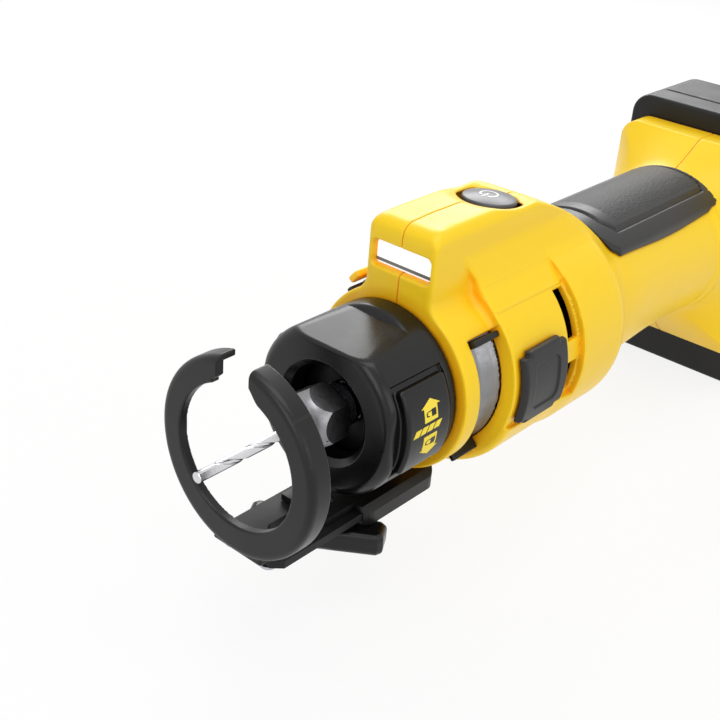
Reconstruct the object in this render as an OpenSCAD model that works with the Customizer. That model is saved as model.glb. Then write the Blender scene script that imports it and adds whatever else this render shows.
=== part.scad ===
// Cordless drywall cut-out tool with depth guide, lock collar, light tower and slide-on battery pack.
// Millimetres. +X points forward along the cutting bit, +Y to the tool's left, +Z up.
// The origin lies on the spindle axis, in the plane of the depth guide's front face.

/* [Depth guide] */
// Distance from the guide's front face back to the lock collar
guide_reach = 34.5; // [32:0.5:42]
// Outer radius of the guide foot's rim
foot_r = 29; // [28:0.5:32]
// Radius of the opening in the guide foot
foot_in_r = 21.4; // [19:0.2:22.4]
// Outer radius of the foot's raised front face
foot_face_r = 27.2; // [25.5:0.1:27.6]
// Thickness of the foot's face plate
foot_plate = 2.8; // [2.2:0.1:3.6]
// Step from the front face back to the rim
foot_step = 2; // [1:0.1:2.2]
// Depth of the foot from its face to the back of its rim
foot_depth = 7; // [5:0.2:9]
// Wall of the foot's rim
foot_rim = 2; // [1.4:0.1:3]
// Width of the gap in the top of the foot
foot_gap = 11.6; // [9:0.2:13]
// Sideways offset of that gap
foot_gap_y = -1.2; // [-2:0.1:1]
// Drop from the foot's rim to the top of the arm
arm_drop = 3; // [2:0.1:4]
// Width of the guide arm
arm_w = 24.4; // [20:0.2:26]
// Thickness of the guide arm
arm_t = 2.6; // [2:0.1:3.2]
// Length of the guide arm
arm_len = 54; // [50:1:58]
// Distance from the foot's face to the front end of the arm
arm_setback = 6; // [4:0.2:7]
// Travel of the guide towards the tool
guide_in = 17; // [12:1:18]
// Travel of the guide away from the tool
guide_out = 12; // [8:1:14]
// Distance from the foot's face to the clamp screw
clamp_back = 35.5; // [34:0.5:38]
// Radius of the clamp screw
clamp_screw_r = 2.5; // [2:0.1:3]
// Half length of the clamp knob's wings
wing_reach = 21; // [17:0.5:23]
// Height of the clamp knob's wings
wing_h = 8; // [6:0.5:10]
// Turn of the wings from straight ahead, when clamped
wing_angle = 120; // [90:5:150]

/* [Guide bracket] */
// Wall beside the arm
bracket_wall = 1.7; // [1.4:0.1:2.4]
// Roof over the arm
bracket_roof = 2.1; // [1.6:0.1:2.2]
// Lip under the arm
bracket_lip = 1.2; // [1:0.1:1.6]
// Width of each lip
bracket_lip_w = 3; // [2:0.1:3.6]
// Length of the bracket's channel
bracket_len = 34; // [30:0.5:36]
// Length of the tongue in front of the channel
tongue_len = 12; // [11:0.5:13]
// Width of the tongue
tongue_w = 18; // [15:0.5:19]
// Clearance between the arm and its channel
slide_gap = 0.3; // [0.25:0.05:0.4]

/* [Nose] */
// Length of the lock collar
collar_len = 29.8; // [28:0.2:34]
// Radius of the lock collar
collar_r = 26.2; // [25.6:0.1:27]
// Height of the front of the flat on top of the collar
collar_flat = 21.7; // [21.5:0.1:23]
// Rise of that flat to the rear, degrees
collar_flat_rise = 6.5; // [5:0.5:8]
// Length of the flat from the collar's front
collar_flat_len = 22; // [18:0.5:24]
// Height of the thumb pads above the collar
pad_rise = 1.5; // [0.8:0.1:2]
// Length of the thumb pads
pad_len = 19; // [15:0.5:20]
// Radius of the collar's front opening
collar_mouth_r = 14.5; // [13:0.1:16]
// Radius of the nose tube that the collar turns on
nose_r = 21; // [20.4:0.1:21.4]
// Radial clearance of the collar on the nose tube
turn_gap = 0.1; // [0.06:0.01:0.1]
// Radius of the cutting bit
bit_r = 1.5875; // [1.5:0.0125:1.6]
// Reach of the bit past the guide's face
bit_reach = 13; // [8:0.5:20]
// Width of the collet nut across its flats
nut_flats = 17; // [16:0.1:18]
// Length of the collet nut
nut_len = 12.5; // [11:0.25:13]
// Radius of the spindle's front end, which takes the nut
spindle_nose_r = 6.9; // [6.4:0.1:7]

/* [Body] */
// Radius of the yellow front ring
ring_r = 29.2; // [28.9:0.1:30.5]
// Length of the front ring
ring_len = 6.9; // [6.4:0.1:8]
// Width of the exhaust slots along the tool
slot_len = 12; // [10:0.2:13]
// Upper end of the exhaust slots, degrees above level
slot_up = 41; // [36:1:43]
// Lower end of the exhaust slots, degrees below level
slot_down = 48; // [40:1:50]
// Radius of the motor barrel
barrel_r = 34.4; // [34:0.1:36]
// How far the barrel swells behind the intake covers
barrel_swell = 0.8; // [0:0.1:1]
// Depth of the side panels below the barrel
panel_depth = 1.3; // [0.6:0.1:1.4]
// Upper edge of the side panels, degrees above level
panel_up = 47.7; // [46:0.1:49]
// Lower edge of the side panels, degrees below level
panel_down = 20; // [19:1:24]
// Length of the barrel from the slots to the back of the rear vents
intake_len = 36; // [35:0.5:40]
// Length of the barrel behind the rear vents
rear_len = 21; // [18:1:28]
// Length of the shoulder from barrel to handle
shoulder_len = 17; // [14:0.5:20]
// Radius of the handle
handle_r = 27.8; // [27:0.1:29]
// How far the handle's waist draws in
handle_waist = 1.2; // [0:0.1:1.6]
// Length of the handle
handle_len = 78; // [72:1:90]
// Wall of the housing
wall = 2.6; // [2.2:0.1:2.8]
// Length of the rear vents along the tool
vent_len = 5.2; // [4:0.2:5.6]
// Upper end of the rear vents, degrees above level
vent_up = 45; // [38:1:47]
// Lower end of the rear vents, degrees below level
vent_down = 18; // [14:1:19]
// Upper edge of the web that crosses the rear vents, degrees above level
vent_web_up = 15; // [10:1:20]
// Lower edge of that web, degrees above level
vent_web_down = 2; // [-2:1:6]

/* [Light tower] */
// Height of the tower's top above the barrel
tower_rise = 16.5; // [15:0.1:18]
// Width of the tower
tower_w = 25.2; // [24.6:0.1:27]
// Radius of the tower's upper edges
tower_edge = 3; // [2:0.1:4]
// Radius of the tower's front brow
tower_brow = 6; // [4:0.1:7]
// Length of the flat top
tower_len = 44; // [42:0.5:48]
// Fall of the top towards the handle, degrees
tower_fall = 20.7; // [19:0.1:23]
// Width of the flared base over the barrel
tower_base_w = 33; // [30:0.5:36]
// Width of the light's lens
window_w = 20.6; // [19:0.1:21]
// Height of the light's lens
window_h = 7.3; // [6.5:0.1:7.6]
// Depth of the window's middle below the tower's top
window_drop = 12.3; // [11.5:0.1:12.8]

/* [Power button] */
// Radius of the button
button_r = 8.7; // [8:0.1:9]
// Depth of the button's middle below the tower's top
button_drop = 2.2; // [2:0.1:3]
// Backward tilt of the button, degrees
button_tilt = 12; // [8:0.5:15]
// Distance of the button behind the tower's front
button_back = 42; // [40:0.5:44]
// Thickness of the button
button_t = 3.2; // [2.6:0.1:3.6]
// Travel of the button
button_travel = 1.2; // [0.8:0.1:1.5]

/* [Intake covers] */
// Length of the covers along the tool
cover_len = 23.5; // [22:0.5:25]
// Thickness of the covers
cover_t = 2.6; // [1.6:0.1:3]
// Upper edge of the covers, degrees above level
cover_up = 24; // [20:1:26]
// Lower edge of the covers, degrees below level
cover_down = 18; // [16:1:18.5]
// Gap between cover and barrel
cover_gap = 0.3; // [0.2:0.05:0.4]

/* [Motor] */
// Room between the stator and the inside of the barrel
stator_room = 7.8; // [7.6:0.1:8.4]
// Length of the stator core
stator_len = 26; // [24:0.5:26.5]
// Share of the stator's radius that the rotor takes
rotor_share = 0.558; // [0.52:0.002:0.566]
// Air gap between rotor and stator
air_gap = 0.6; // [0.4:0.05:0.8]
// Radius of the spindle in the front bearing
spindle_r = 4; // [3.8:0.1:4]
// Radius of the spindle in the rear bearing
tail_r = 3; // [2.8:0.1:3]
// Radius of the fan
fan_r = 20.5; // [18:0.1:20.8]
// Number of fan blades
fan_blades = 11; // [7:1:13]

/* [Battery pack] */
// Room beside the cells, out to the pack's sides
pack_side = 5; // [4.4:0.1:8]
// Room above and below the row of cells
pack_end_room = 16.5; // [15:0.5:22]
// How far the pack reaches above the spindle axis
pack_up = 46; // [44:0.5:48]
// Thickness of the pack's top case
pack_top_t = 14; // [12:0.5:18]
// Thickness of the pack's base case
pack_base_t = 28; // [25:0.5:34]
// Corner radius of the pack
pack_corner = 8; // [6:0.5:10]
// Radius of a cell
cell_r = 9.2; // [9:0.05:9.2]
// Length of a cell
cell_len = 65; // [64:0.5:66]
// Number of cells
cell_count = 5; // [4:1:5]
// Width of the rail's head
rail_w = 50; // [46:0.5:52]
// Depth of the rail
rail_d = 11; // [10:0.2:12]
// Width of each rail lip
rail_lip = 3; // [2.4:0.1:3.4]
// Travel of the pack when it slides off
pack_travel = 80; // [70:1:90]
// Clearance around the rail
rail_gap = 0.3; // [0.25:0.05:0.4]

/* [Hidden] */
$fn = 96;

yellow = "gold";
black = "#2b2b2b";
steel = "silver";

// Stations along the tool, from the guide's face backwards
x_collar = -guide_reach;
x_ring = x_collar - collar_len;
x_slot = x_ring - ring_len;
x_barrel = x_slot - slot_len;
x_vent = x_barrel - intake_len;
x_shoulder = x_vent - rear_len;
x_handle = x_shoulder - shoulder_len;
x_flare = x_handle - handle_len;
flare_len = 14;
x_foot_wall = x_flare - flare_len;
foot_wall = 2.5;
x_foot = x_foot_wall - rail_d - rail_gap;
tower_top = barrel_r + tower_rise;
window_z = tower_top - window_drop;
button_z = tower_top - button_drop;
stator_r = barrel_r - wall - stator_room;
rotor_r = stator_r * rotor_share;
cell_pitch = 2 * cell_r + 0.5;
pack_w = cell_len + 2 * pack_side;
pack_h = cell_count * cell_pitch + pack_end_room;
face_gap = 0.3;
eps = 0.01;
big = 400;
// Turn of every revolved form's seam away from the parting plane
seam = 17;

// Working clearances
part_gap = 0.3;
seat_gap = 0.05;

// Heights under the nose
z_arm = -foot_r - arm_drop;
z_arm_low = z_arm - arm_t;
z_channel = z_arm + slide_gap;
z_roof = z_channel + bracket_roof;
z_lip = z_arm_low - slide_gap;
z_bracket_low = z_lip - bracket_lip;
x_bracket = -clamp_back - 5.5;
x_bracket_end = x_bracket - bracket_len;
z_wing = z_bracket_low - 0.5;

// Solid of revolution about the spindle axis, from [radius, x] points
module revolve(points) {
    rotate([0, 90, 0]) rotate([0, 0, seam]) rotate_extrude() polygon(points);
}

// The same over an arc, in degrees above level on the left side
module sector(points, from, to) {
    rotate([0, 90, 0]) rotate([0, 0, from + 90]) rotate_extrude(angle = to - from) polygon(points);
}

// A rod or tube along the spindle axis, between two stations
module rod(front, back, r) {
    translate([back, 0, 0]) rotate([0, 90, 0]) rotate([0, 0, seam]) cylinder(r = r, h = front - back);
}

module tube(front, back, r, bore) {
    revolve([[bore, front], [r, front], [r, back], [bore, back]]);
}

// A (y, z) outline drawn out along X, an (x, z) outline along Y, an (x, y) outline along Z
module along_x(front, back) {
    translate([back, 0, 0]) rotate([90, 0, 90]) linear_extrude(front - back) children();
}

module along_y(width) {
    rotate([90, 0, 0]) linear_extrude(width, center = true) children();
}

module along_z(low, high) {
    translate([0, 0, low]) linear_extrude(high - low) children();
}

module round_rect(w, h, r) {
    square([w - 2 * r, h], center = true);
    square([w, h - 2 * r], center = true);
    for (sx = [-1, 1], sy = [-1, 1])
        translate([sx * (w / 2 - r), sy * (h / 2 - r)]) circle(r);
}

module block(front, back, w, low, high) {
    translate([back, -w / 2, low]) cube([front - back, w, high - low]);
}

// Keeps the left or the right side of what it is given
module side_half(side) {
    intersection() {
        children();
        translate([-big, side > 0 ? 0 : -big, -big]) cube([2 * big, big, 2 * big]);
    }
}

// Points of a quarter turn from angle a to angle b about a centre, as [u, v] pairs
function arc(u, v, r, a, b, n = 8) = [for (i = [0:n])
    let (t = a + (b - a) * i / n) [u + r * cos(t), v + r * sin(t)]];

// Housing: outer form, hollow, slots and bosses

ring_edge = 1.2;
barrel_edge = 1.6;
waist_steps = 12;
function waist(t) = handle_r - handle_waist * pow(sin(180 * t), 2);

shoulder_steps = 8;
swell_lead = 7;
swell_len = 6;
swell_r = barrel_r + barrel_swell;
function shoulder(t) = handle_r + (swell_r - handle_r) * (1 + cos(180 * t)) / 2;

// Half outline of barrel and handle, moved in by inset, as [radius, x] points
function barrel_outline(inset, front) = concat(
    [[0, front], [ring_r - inset - ring_edge, front], [ring_r - inset, front - ring_edge],
     [ring_r - inset, x_barrel - inset], [barrel_r - inset - barrel_edge, x_barrel - inset],
     [barrel_r - inset, x_barrel - inset - barrel_edge], [barrel_r - inset, x_vent + swell_lead],
     [swell_r - inset, x_vent + swell_lead - swell_len]],
    [for (i = [0:shoulder_steps - 1])
        let (t = i / shoulder_steps) [shoulder(t) - inset, x_shoulder - t * shoulder_len]],
    [for (i = [0:waist_steps]) let (t = i / waist_steps) [waist(t) - inset, x_handle - t * handle_len]],
    [[handle_r - inset, x_foot_wall], [0, x_foot_wall]]);

tower_shoulder_drop = 11;
tower_shoulder_z = tower_top - tower_shoulder_drop;
tower_proud = 0.3;
base_setback = 0.5;
tower_flare_drop = 3.6;
tower_flare_z = barrel_r - tower_flare_drop;
x_fall = x_ring - tower_len;
function fall_z(x) = tower_top - (x_fall - x) * tan(tower_fall);
x_fall_end = x_fall - (tower_top - 18) / tan(tower_fall);

// Side view of the tower
module tower_side(inset, rear) {
    polygon(concat(
        [[x_ring + tower_proud - inset, 0]],
        arc(x_ring + tower_proud - tower_brow, tower_top - tower_brow, tower_brow - inset, 0, 90),
        [[x_fall - inset * tan(tower_fall / 2), tower_top - inset],
            [rear, fall_z(rear) - inset / cos(tower_fall)],
         [rear, 0]]));
}

// End view of the tower, plain in front and flared over the barrel
module tower_end(inset, base_w) {
    half = tower_w / 2 - inset;
    top = tower_top - inset;
    edge = max(tower_edge - inset, 0.6);
    right = concat([[base_w / 2 - inset, 0], [base_w / 2 - inset, tower_flare_z - inset],
        [half, tower_shoulder_z - inset]],
                   arc(half - edge, top - edge, edge, 0, 90));
    left = [for (i = [len(right) - 1:-1:0]) [-right[i][0], right[i][1]]];
    polygon(concat(right, left));
}

module tower_form(inset) {
    intersection() {
        along_y(big) tower_side(inset, x_fall_end);
        union() {
            along_x(x_ring + 1, x_fall_end - 1) tower_end(inset, tower_w);
            along_x(x_barrel - base_setback - inset, x_fall_end - 1) tower_end(inset, tower_base_w);
        }
    }
}

// The rear foot that carries the pack
foot_w = 68;
foot_up = 38;
foot_down = 46;
foot_corner = 7;

module foot_plate_shape(front, back) {
    along_x(front, back) translate([0, (foot_up - foot_down) / 2])
        round_rect(foot_w, foot_up + foot_down, foot_corner);
}

module foot_form() {
    hull() {
        rod(x_flare + 6, x_flare + 5, handle_r, $fn = 32);
        foot_plate_shape(x_foot_wall + 1, x_foot_wall, $fn = 32);
    }
    foot_plate_shape(x_foot_wall + 0.5, x_foot);
}

// The bracket's pad under the slot zone, down to the roof of the bracket
pad_w = 16;
pad_back = 13;
module bracket_pad() {
    block(x_ring - 1, x_ring - 1 - pad_back, pad_w, z_roof, -ring_r + 4);
}

module outer_form() {
    revolve(barrel_outline(0, x_ring));
    tower_form(0);
    foot_form();
    bracket_pad();
}

// Rail pocket in the foot, open at its lower end
pocket_up = 30;
rail_up = 16;
rail_down = 44;
lip_t = 3.4;
module rail_pocket() {
    half = rail_w / 2 + rail_gap;
    block(x_foot_wall + eps, x_foot + lip_t, 2 * half, -big / 2, pocket_up);
    block(x_foot_wall + eps, x_foot - 1, 2 * (half - rail_lip), -big / 2, pocket_up);
}

// Screw places [x, z, distance of the outer surface from the parting plane]
function screw_place(x, z, r) = [x, z, sqrt(pow(r, 2) - pow(z, 2))];
screw_places = [
    [x_slot - 5.5, tower_top - 18.3, tower_w / 2],
    [x_vent - 17, barrel_r - 0.2, tower_w / 2],
    screw_place(x_barrel - 16.8, -stator_r - 5, barrel_r),
    screw_place(x_shoulder + 1, -barrel_r + 7.4, swell_r),
    screw_place(x_handle - 6, -0.74 * handle_r, handle_r),
    screw_place(x_flare + 5, handle_r / 2, handle_r),
    screw_place(x_flare + 5, -handle_r / 2, handle_r)
];
screw_r = 1.5;
screw_head_r = 2.8;
screw_head_t = 2;
screw_sink = 3.4;
boss_wall = 1.6;
screw_grip = 8;

// A cylinder along +Y from the origin
module y_rod(r, h) {
    rotate([-90, 0, 0]) cylinder(r = r, h = h, $fn = 48);
}

module screw_bosses() {
    for (place = screw_places)
        translate([place[0], 0, place[1]]) {
            translate([0, -place[2] + 1, 0]) y_rod(screw_head_r + boss_wall, place[2] - 1);
            y_rod(screw_r + boss_wall + 0.4, place[2] - 1);
        }
}

module screw_holes() {
    for (place = screw_places)
        translate([place[0], 0, place[1]]) {
            translate([0, -place[2] - 4, 0]) y_rod(screw_head_r + part_gap, screw_sink + 4);
            translate([0, -place[2], 0]) y_rod(screw_r + part_gap / 2, place[2]);
            y_rod(screw_r + seat_gap, screw_grip + 0.5);
        }
}

// Nose flange seat, guard seat, ribs round the stator
nose_flange_t = 4;
nose_flange_r = 25.4;
front_wall = 2.5;
x_flange = x_ring - front_wall - seat_gap;
guard_seat_r = ring_r - 1.6;
rib_t = 2;
insulator_len = 4.6;
x_stator = x_barrel - wall - insulator_len - part_gap;
x_stator_end = x_stator - stator_len;
x_end_frame = x_vent - 4;
end_frame_t = 6.2;

module hollow() {
    difference() {
        union() {
            // front bore and the seat of the nose flange
            rod(x_ring + 1, x_ring - front_wall - eps, nose_r + part_gap);
            rod(x_ring - front_wall, x_barrel - wall - eps, guard_seat_r);
            rod(x_barrel - wall, x_shoulder, barrel_r - wall);
            revolve(concat([[0, x_shoulder + eps], [barrel_r - wall, x_shoulder + eps]],
                [for (i = [1:shoulder_steps - 1])
                    let (t = i / shoulder_steps) [shoulder(t) - wall, x_shoulder - t * shoulder_len]],
                [for (i = [0:waist_steps]) let (t = i / waist_steps) [waist(t) - wall,
                    x_handle - t * handle_len]],
                [[0, x_flare]]));
            rod(x_flare + eps, x_foot_wall + foot_wall, handle_r - handle_waist - wall);
            tower_form(wall);
        }
        // ribs that hold the stator and the rear end frame
        for (x = [x_stator + 0.9, x_stator_end + rib_t + 1.5])
            stator_rib(x);
        tube(x_end_frame + rib_t, x_end_frame + seat_gap, barrel_r, barrel_r - wall - 3);
        for (x = [x_tray - 10, x_tray - tray_len + 8])
            tray_rib(x);
        screw_bosses();
    }
}

// A rib around the stator, open behind the intake windows
module stator_rib(x) {
    difference() {
        tube(x, x - rib_t, barrel_r, stator_r + seat_gap);
        for (s = [-cover_down - 1, 179 - cover_up])
            sector([[stator_r - 1, x + 1], [barrel_r + 1, x + 1], [barrel_r + 1, x - rib_t - 1],
                    [stator_r - 1, x - rib_t - 1]], s, s + cover_up + cover_down + 2);
    }
}

// A rib across the handle, open for the controller tray and the leads above it
module tray_rib(x) {
    difference() {
        rod(x, x - rib_t, handle_r);
        block(x + 1, x - rib_t - 1, tray_w + 2 * seat_gap, -tray_h / 2 - seat_gap, tray_h / 2 + seat_gap);
        block(x + 1, x - rib_t - 1, tray_w - 8, 0, lead_z + 2);
    }
}

slot_sink = 0.3;
module exhaust_slots() {
    for (s = [-slot_down, 180 - slot_up])
        sector([[guard_seat_r - 1, x_slot], [ring_r + 1, x_slot], [ring_r + 1, x_barrel - slot_sink],
                [guard_seat_r - 1, x_barrel - slot_sink]], s, s + slot_up + slot_down);
}

module rear_vents() {
    for (span = [[-vent_down, vent_web_down], [vent_web_up, vent_up],
                 [180 - vent_web_down, 180 + vent_down], [180 - vent_up, 180 - vent_web_up]])
        sector([[barrel_r - wall - 1, x_vent + 1], [barrel_r + 1, x_vent + 1],
                [barrel_r + 1, x_vent + 1 + vent_len], [barrel_r - wall - 1, x_vent + 1 + vent_len]],
               span[0], span[1]);
}

// Recessed panel on each side, with a flat shoulder between it and the tower's foot
panel_r = barrel_r - panel_depth;
panel_lip = 0.5;
x_panel_end = x_vent + 0.6;
shoulder_y = tower_base_w / 2 - 0.1;
shoulder_z = tower_flare_z - 0.5;
module side_panels() {
    for (s = [-panel_down, 180 - panel_up])
        sector([[panel_r, x_barrel + 1], [swell_r + 1, x_barrel + 1], [swell_r + 1, x_panel_end],
                [panel_r, x_panel_end]], s, s + panel_up + panel_down);
    flat_y = (panel_r + panel_lip) * cos(panel_up - 3);
    flat_z = (panel_r + panel_lip) * sin(panel_up - 3);
    for (s = [-1, 1])
        along_x(x_barrel + 2, x_panel_end + 0.2) polygon([
            [s * flat_y, flat_z], [s * shoulder_y, shoulder_z], [s * (shoulder_y + 8), shoulder_z + 8],
            [s * (flat_y + 8), flat_z + 8]]);
}

// Window behind each intake cover
cover_inset = 1.8;
x_cover = x_barrel - cover_inset;
window_border = 5;
screen_t = 0.7;
module intake_windows() {
    for (s = [-cover_down + 6, 180 - cover_up + 6])
        sector([[barrel_r - wall - 1, x_cover - window_border], [barrel_r + 1, x_cover - window_border],
                [barrel_r + 1, x_cover - cover_len + window_border],
                [barrel_r - wall - 1, x_cover - cover_len + window_border]],
               s, s + cover_up + cover_down - 12);
}

// Light window and button well
x_button = x_ring - button_back;
scoop_r = 12;
lens_back = 1.9;
lens_t = 2;
reflector_d = 1.6;
board_t = 1.6;
window_lip = 0.8;
x_light_end = x_ring - lens_back - lens_t - reflector_d - board_t - part_gap;
window_corner = 1.2;

module window_shape(grow) {
    translate([0, window_z]) round_rect(window_w + 2 * grow, window_h + 2 * grow, window_corner + grow);
}

// Places its children in the button's tilted frame, with +Z out of the button
module at_button() {
    translate([x_button, 0, button_z]) rotate([0, -button_tilt, 0]) children();
}

module button_well() {
    at_button() {
        translate([0, 0, -14]) cylinder(r = button_r + part_gap, h = 30);
        translate([0, 0, 34]) sphere(r = sqrt(pow(scoop_r, 2) + pow(34, 2)));
    }
}

module housing_form(side) {
    difference() {
        side_half(side) outer_form();
        hollow();
        exhaust_slots();
        side_panels();
        rear_vents();
        intake_windows();
        along_x(x_ring + 1, x_light_end) window_shape(part_gap / 3);
        along_x(x_ring + 2, x_ring - lens_back + seat_gap) window_shape(window_lip);
        button_well();
        rail_pocket();
        screw_holes();
        block(x_foot_wall + foot_wall + 3, x_foot_wall - eps, terminal_neck_w + 2 * part_gap,
              terminal_low - part_gap, terminal_neck + part_gap);
        for (y = [-1, 1])
            translate([x_bracket_hole, y * bracket_hole_y, z_roof - 1])
                cylinder(r = 1.3, h = 9, $fn = 48);
    }
}

module housing_left() {
    color(yellow) housing_form(1);
}

// Ledge over the upper end of the right half's exhaust slot
ledge_r = 32.2;
ledge_len = 8.7;
ledge_edge = 1.2;
ledge_w = 8.3;
module slot_ledge() {
    outer = barrel_r + 0.2;
    sector([[ledge_r, x_barrel - 2], [outer, x_barrel - 2], [outer, x_barrel + ledge_len - ledge_edge],
            [outer - ledge_edge, x_barrel + ledge_len], [ledge_r, x_barrel + ledge_len]],
           180 - slot_up - 4, 180 - slot_up - 4 + ledge_w);
}

module housing_right() {
    color(yellow) {
        housing_form(-1);
        slot_ledge();
    }
}

// Soft grip on top of the handle
grip_t = 2.3;
grip_half_w = 18.4;
grip_front = 13;
grip_taper = 6;
x_grip = x_shoulder - grip_front;
x_grip_end = x_flare + 3;
module handle_grip() {
    color(black) difference() {
        intersection() {
            union() {
                rod(x_grip + 2, x_grip_end - 1, handle_r + grip_t);
                translate([0, 0, 1.4]) tower_form(0);
            }
            along_z(12, tower_top) polygon([[x_grip, -3], [x_grip, 3], [x_grip - 4, 11], [x_grip - 5, 13],
                [x_grip - 5 - grip_taper, grip_half_w], [x_grip_end, grip_half_w],
                    [x_grip_end, -grip_half_w],
                [x_grip - 5 - grip_taper, -grip_half_w], [x_grip - 5, -13], [x_grip - 4, -11]]);
        }
        revolve(barrel_outline(-seat_gap, x_ring));
        translate([0, 0, seat_gap]) tower_form(-seat_gap);
        hull() {
            rod(x_flare + 6, x_flare + 5, handle_r + seat_gap, $fn = 32);
            foot_plate_shape(x_foot_wall + 1, x_foot_wall, $fn = 32);
        }
    }
}

module housing_screws() {
    color(steel) for (place = screw_places)
        translate([place[0], screw_sink - place[2], place[1]]) difference() {
            union() {
                translate([0, -screw_head_t, 0]) y_rod(screw_head_r, screw_head_t);
                translate([0, -eps, 0]) y_rod(screw_r, place[2] - screw_sink + screw_grip);
            }
            translate([0, -screw_head_t - 1, 0]) rotate([-90, 0, 0]) cylinder(r = 1.6, h = 2.2, $fn = 6);
        }
}

// Exhaust guard: a flared tube with a bar at each end of both slots
guard_wall = 1.4;
bar_t = 2;
bar_r = ring_r + 2;
module exhaust_guard() {
    deep = guard_seat_r - 3.4;
    outer = concat([[deep, x_slot + part_gap], [deep + 0.4, x_slot - slot_len * 0.3]],
                   [[deep + 1.5, x_slot - slot_len * 0.6],
                       [guard_seat_r - seat_gap, x_barrel - seat_gap]]);
    inner = [for (i = [len(outer) - 1:-1:0]) [outer[i][0] - guard_wall, outer[i][1]]];
    color(black) {
        difference() {
            union() {
                revolve(concat(outer, inner));
                for (a = [slot_up - 3, -slot_down + 3, 180 - slot_up + 3, 180 + slot_down - 3])
                    rotate([a, 0, 0]) block_y(x_slot - 0.2, x_barrel + 0.2, deep - 0.4, bar_r, bar_t);
            }
            revolve(concat([[0, x_slot + 1]], [[deep - guard_wall, x_slot + 1]],
                [for (p = outer) [p[0] - guard_wall, p[1]]],
                           [[0, x_barrel - 1]]));
        }
    }
}

// A plate from one radius to another along +Y, centred on Z
module block_y(front, back, low, high, t) {
    translate([back, low, -t / 2]) cube([front - back, high - low, t]);
}

// Nose tube, bearings and collar

front_bearing_r = 11;
front_bearing_w = 7;
x_front_bearing = x_collar - 13;
x_nose = x_front_bearing + 3.4;
x_rear_bearing = x_end_frame - 0.2;
rear_bearing_r = 9.5;
rear_bearing_w = 6;

module nose_tube() {
    color("lightgray") revolve([
        [6.6, x_nose], [nose_r - 1, x_nose], [nose_r, x_nose - 1], [nose_r, x_ring_groove],
        [nose_r - ring_groove, x_ring_groove], [nose_r - ring_groove, x_ring_groove - snap_t - seat_gap],
        [nose_r, x_ring_groove - snap_t - seat_gap], [nose_r, x_flange], [nose_flange_r, x_flange],
        [nose_flange_r, x_flange - nose_flange_t], [17, x_flange - nose_flange_t], [17, x_flange + 2],
        [front_bearing_r + seat_gap / 5, x_flange + 6], [front_bearing_r + seat_gap / 5, x_front_bearing],
        [6.6, x_front_bearing]]);
}

snap_t = 1.2;
ring_groove = 1;
snap_rise = 0.5;
x_ring_groove = x_nose - 3;
module collar_ring() {
    color(steel) difference() {
        tube(x_ring_groove - seat_gap / 2, x_ring_groove - seat_gap / 2 - snap_t, nose_r + snap_rise,
             nose_r - ring_groove + seat_gap);
        block(x_nose, x_ring, 5, 0, 2 * nose_r);
    }
}

collar_edge = 6;
collar_front_wall = 7.6;
x_collar_end = x_ring + 0.7;
x_collar_wall = x_collar - collar_front_wall;
pad_up = 33;
pad_down = 25;
pad_front = 5.5;
side_flat = 24.6;
module lock_collar() {
    bore = nose_r + turn_gap;
    color(black) difference() {
        union() {
            difference() {
                revolve(concat([[collar_mouth_r + 2, x_collar]],
                    [for (p = arc(x_collar - collar_edge, collar_r - collar_edge, collar_edge, 0,
                        90)) [p[1], p[0]]],
                    [[collar_r, x_collar_end], [bore, x_collar_end], [bore, x_collar_wall],
                     [collar_mouth_r, x_collar_wall], [collar_mouth_r, x_collar - 2]]));
                translate([x_collar, 0, collar_flat]) rotate([0, collar_flat_rise, 0])
                    block(2, -collar_flat_len, big, 0, collar_r);
                for (s = [-1, 1])
                    block_side(x_collar + 1, x_collar - collar_flat_len, s, side_flat, 2 * collar_r);
            }
            for (s = [-pad_down, 180 - pad_up])
                sector([[nose_r + 2, x_collar - pad_front],
                    [collar_r + pad_rise - 0.8, x_collar - pad_front],
                        [collar_r + pad_rise, x_collar - pad_front - 0.8],
                        [collar_r + pad_rise, x_collar - pad_front - pad_len + 0.8],
                        [collar_r + pad_rise - 0.8, x_collar - pad_front - pad_len],
                        [nose_r + 2, x_collar - pad_front - pad_len]], s, s + pad_up + pad_down);
        }
        tube(x_ring_groove + 0.4, x_ring_groove - snap_t - 0.5, nose_r + snap_rise + part_gap,
            nose_r - 1);
    }
}

module block_side(front, back, side, from, to) {
    translate([back, side > 0 ? from : -to, -big / 2]) cube([front - back, to - from, big]);
}

// Spindle with its collet taper
collet_r = 4.4;
collet_tip_r = 3.2;
collet_len = 16;
x_spindle = x_collar + 6.5;
nut_front_wall = 3;
x_nut = x_spindle + nut_front_wall + 1;
x_tail = x_rear_bearing - rear_bearing_w - 1;
shoulder_r = 5.6;
module spindle() {
    color(steel) difference() {
        revolve([
            [0, x_spindle], [spindle_nose_r - 0.6, x_spindle], [spindle_nose_r, x_spindle - 0.6],
            [spindle_nose_r, x_nose + 2.2], [shoulder_r, x_nose + 2.2], [shoulder_r, x_front_bearing],
            [spindle_r, x_front_bearing], [spindle_r, x_sensor + 0.5], [tail_r, x_sensor + 0.5],
            [tail_r, x_tail], [0, x_tail]]);
        revolve([[0, x_spindle + eps], [collet_r + seat_gap, x_spindle + eps],
                 [collet_tip_r + seat_gap, x_spindle - collet_len - 0.3],
                     [0, x_spindle - collet_len - 0.3]]);
        rod(x_spindle - collet_len, x_bit_end - 1, bit_r + part_gap);
    }
}

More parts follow.
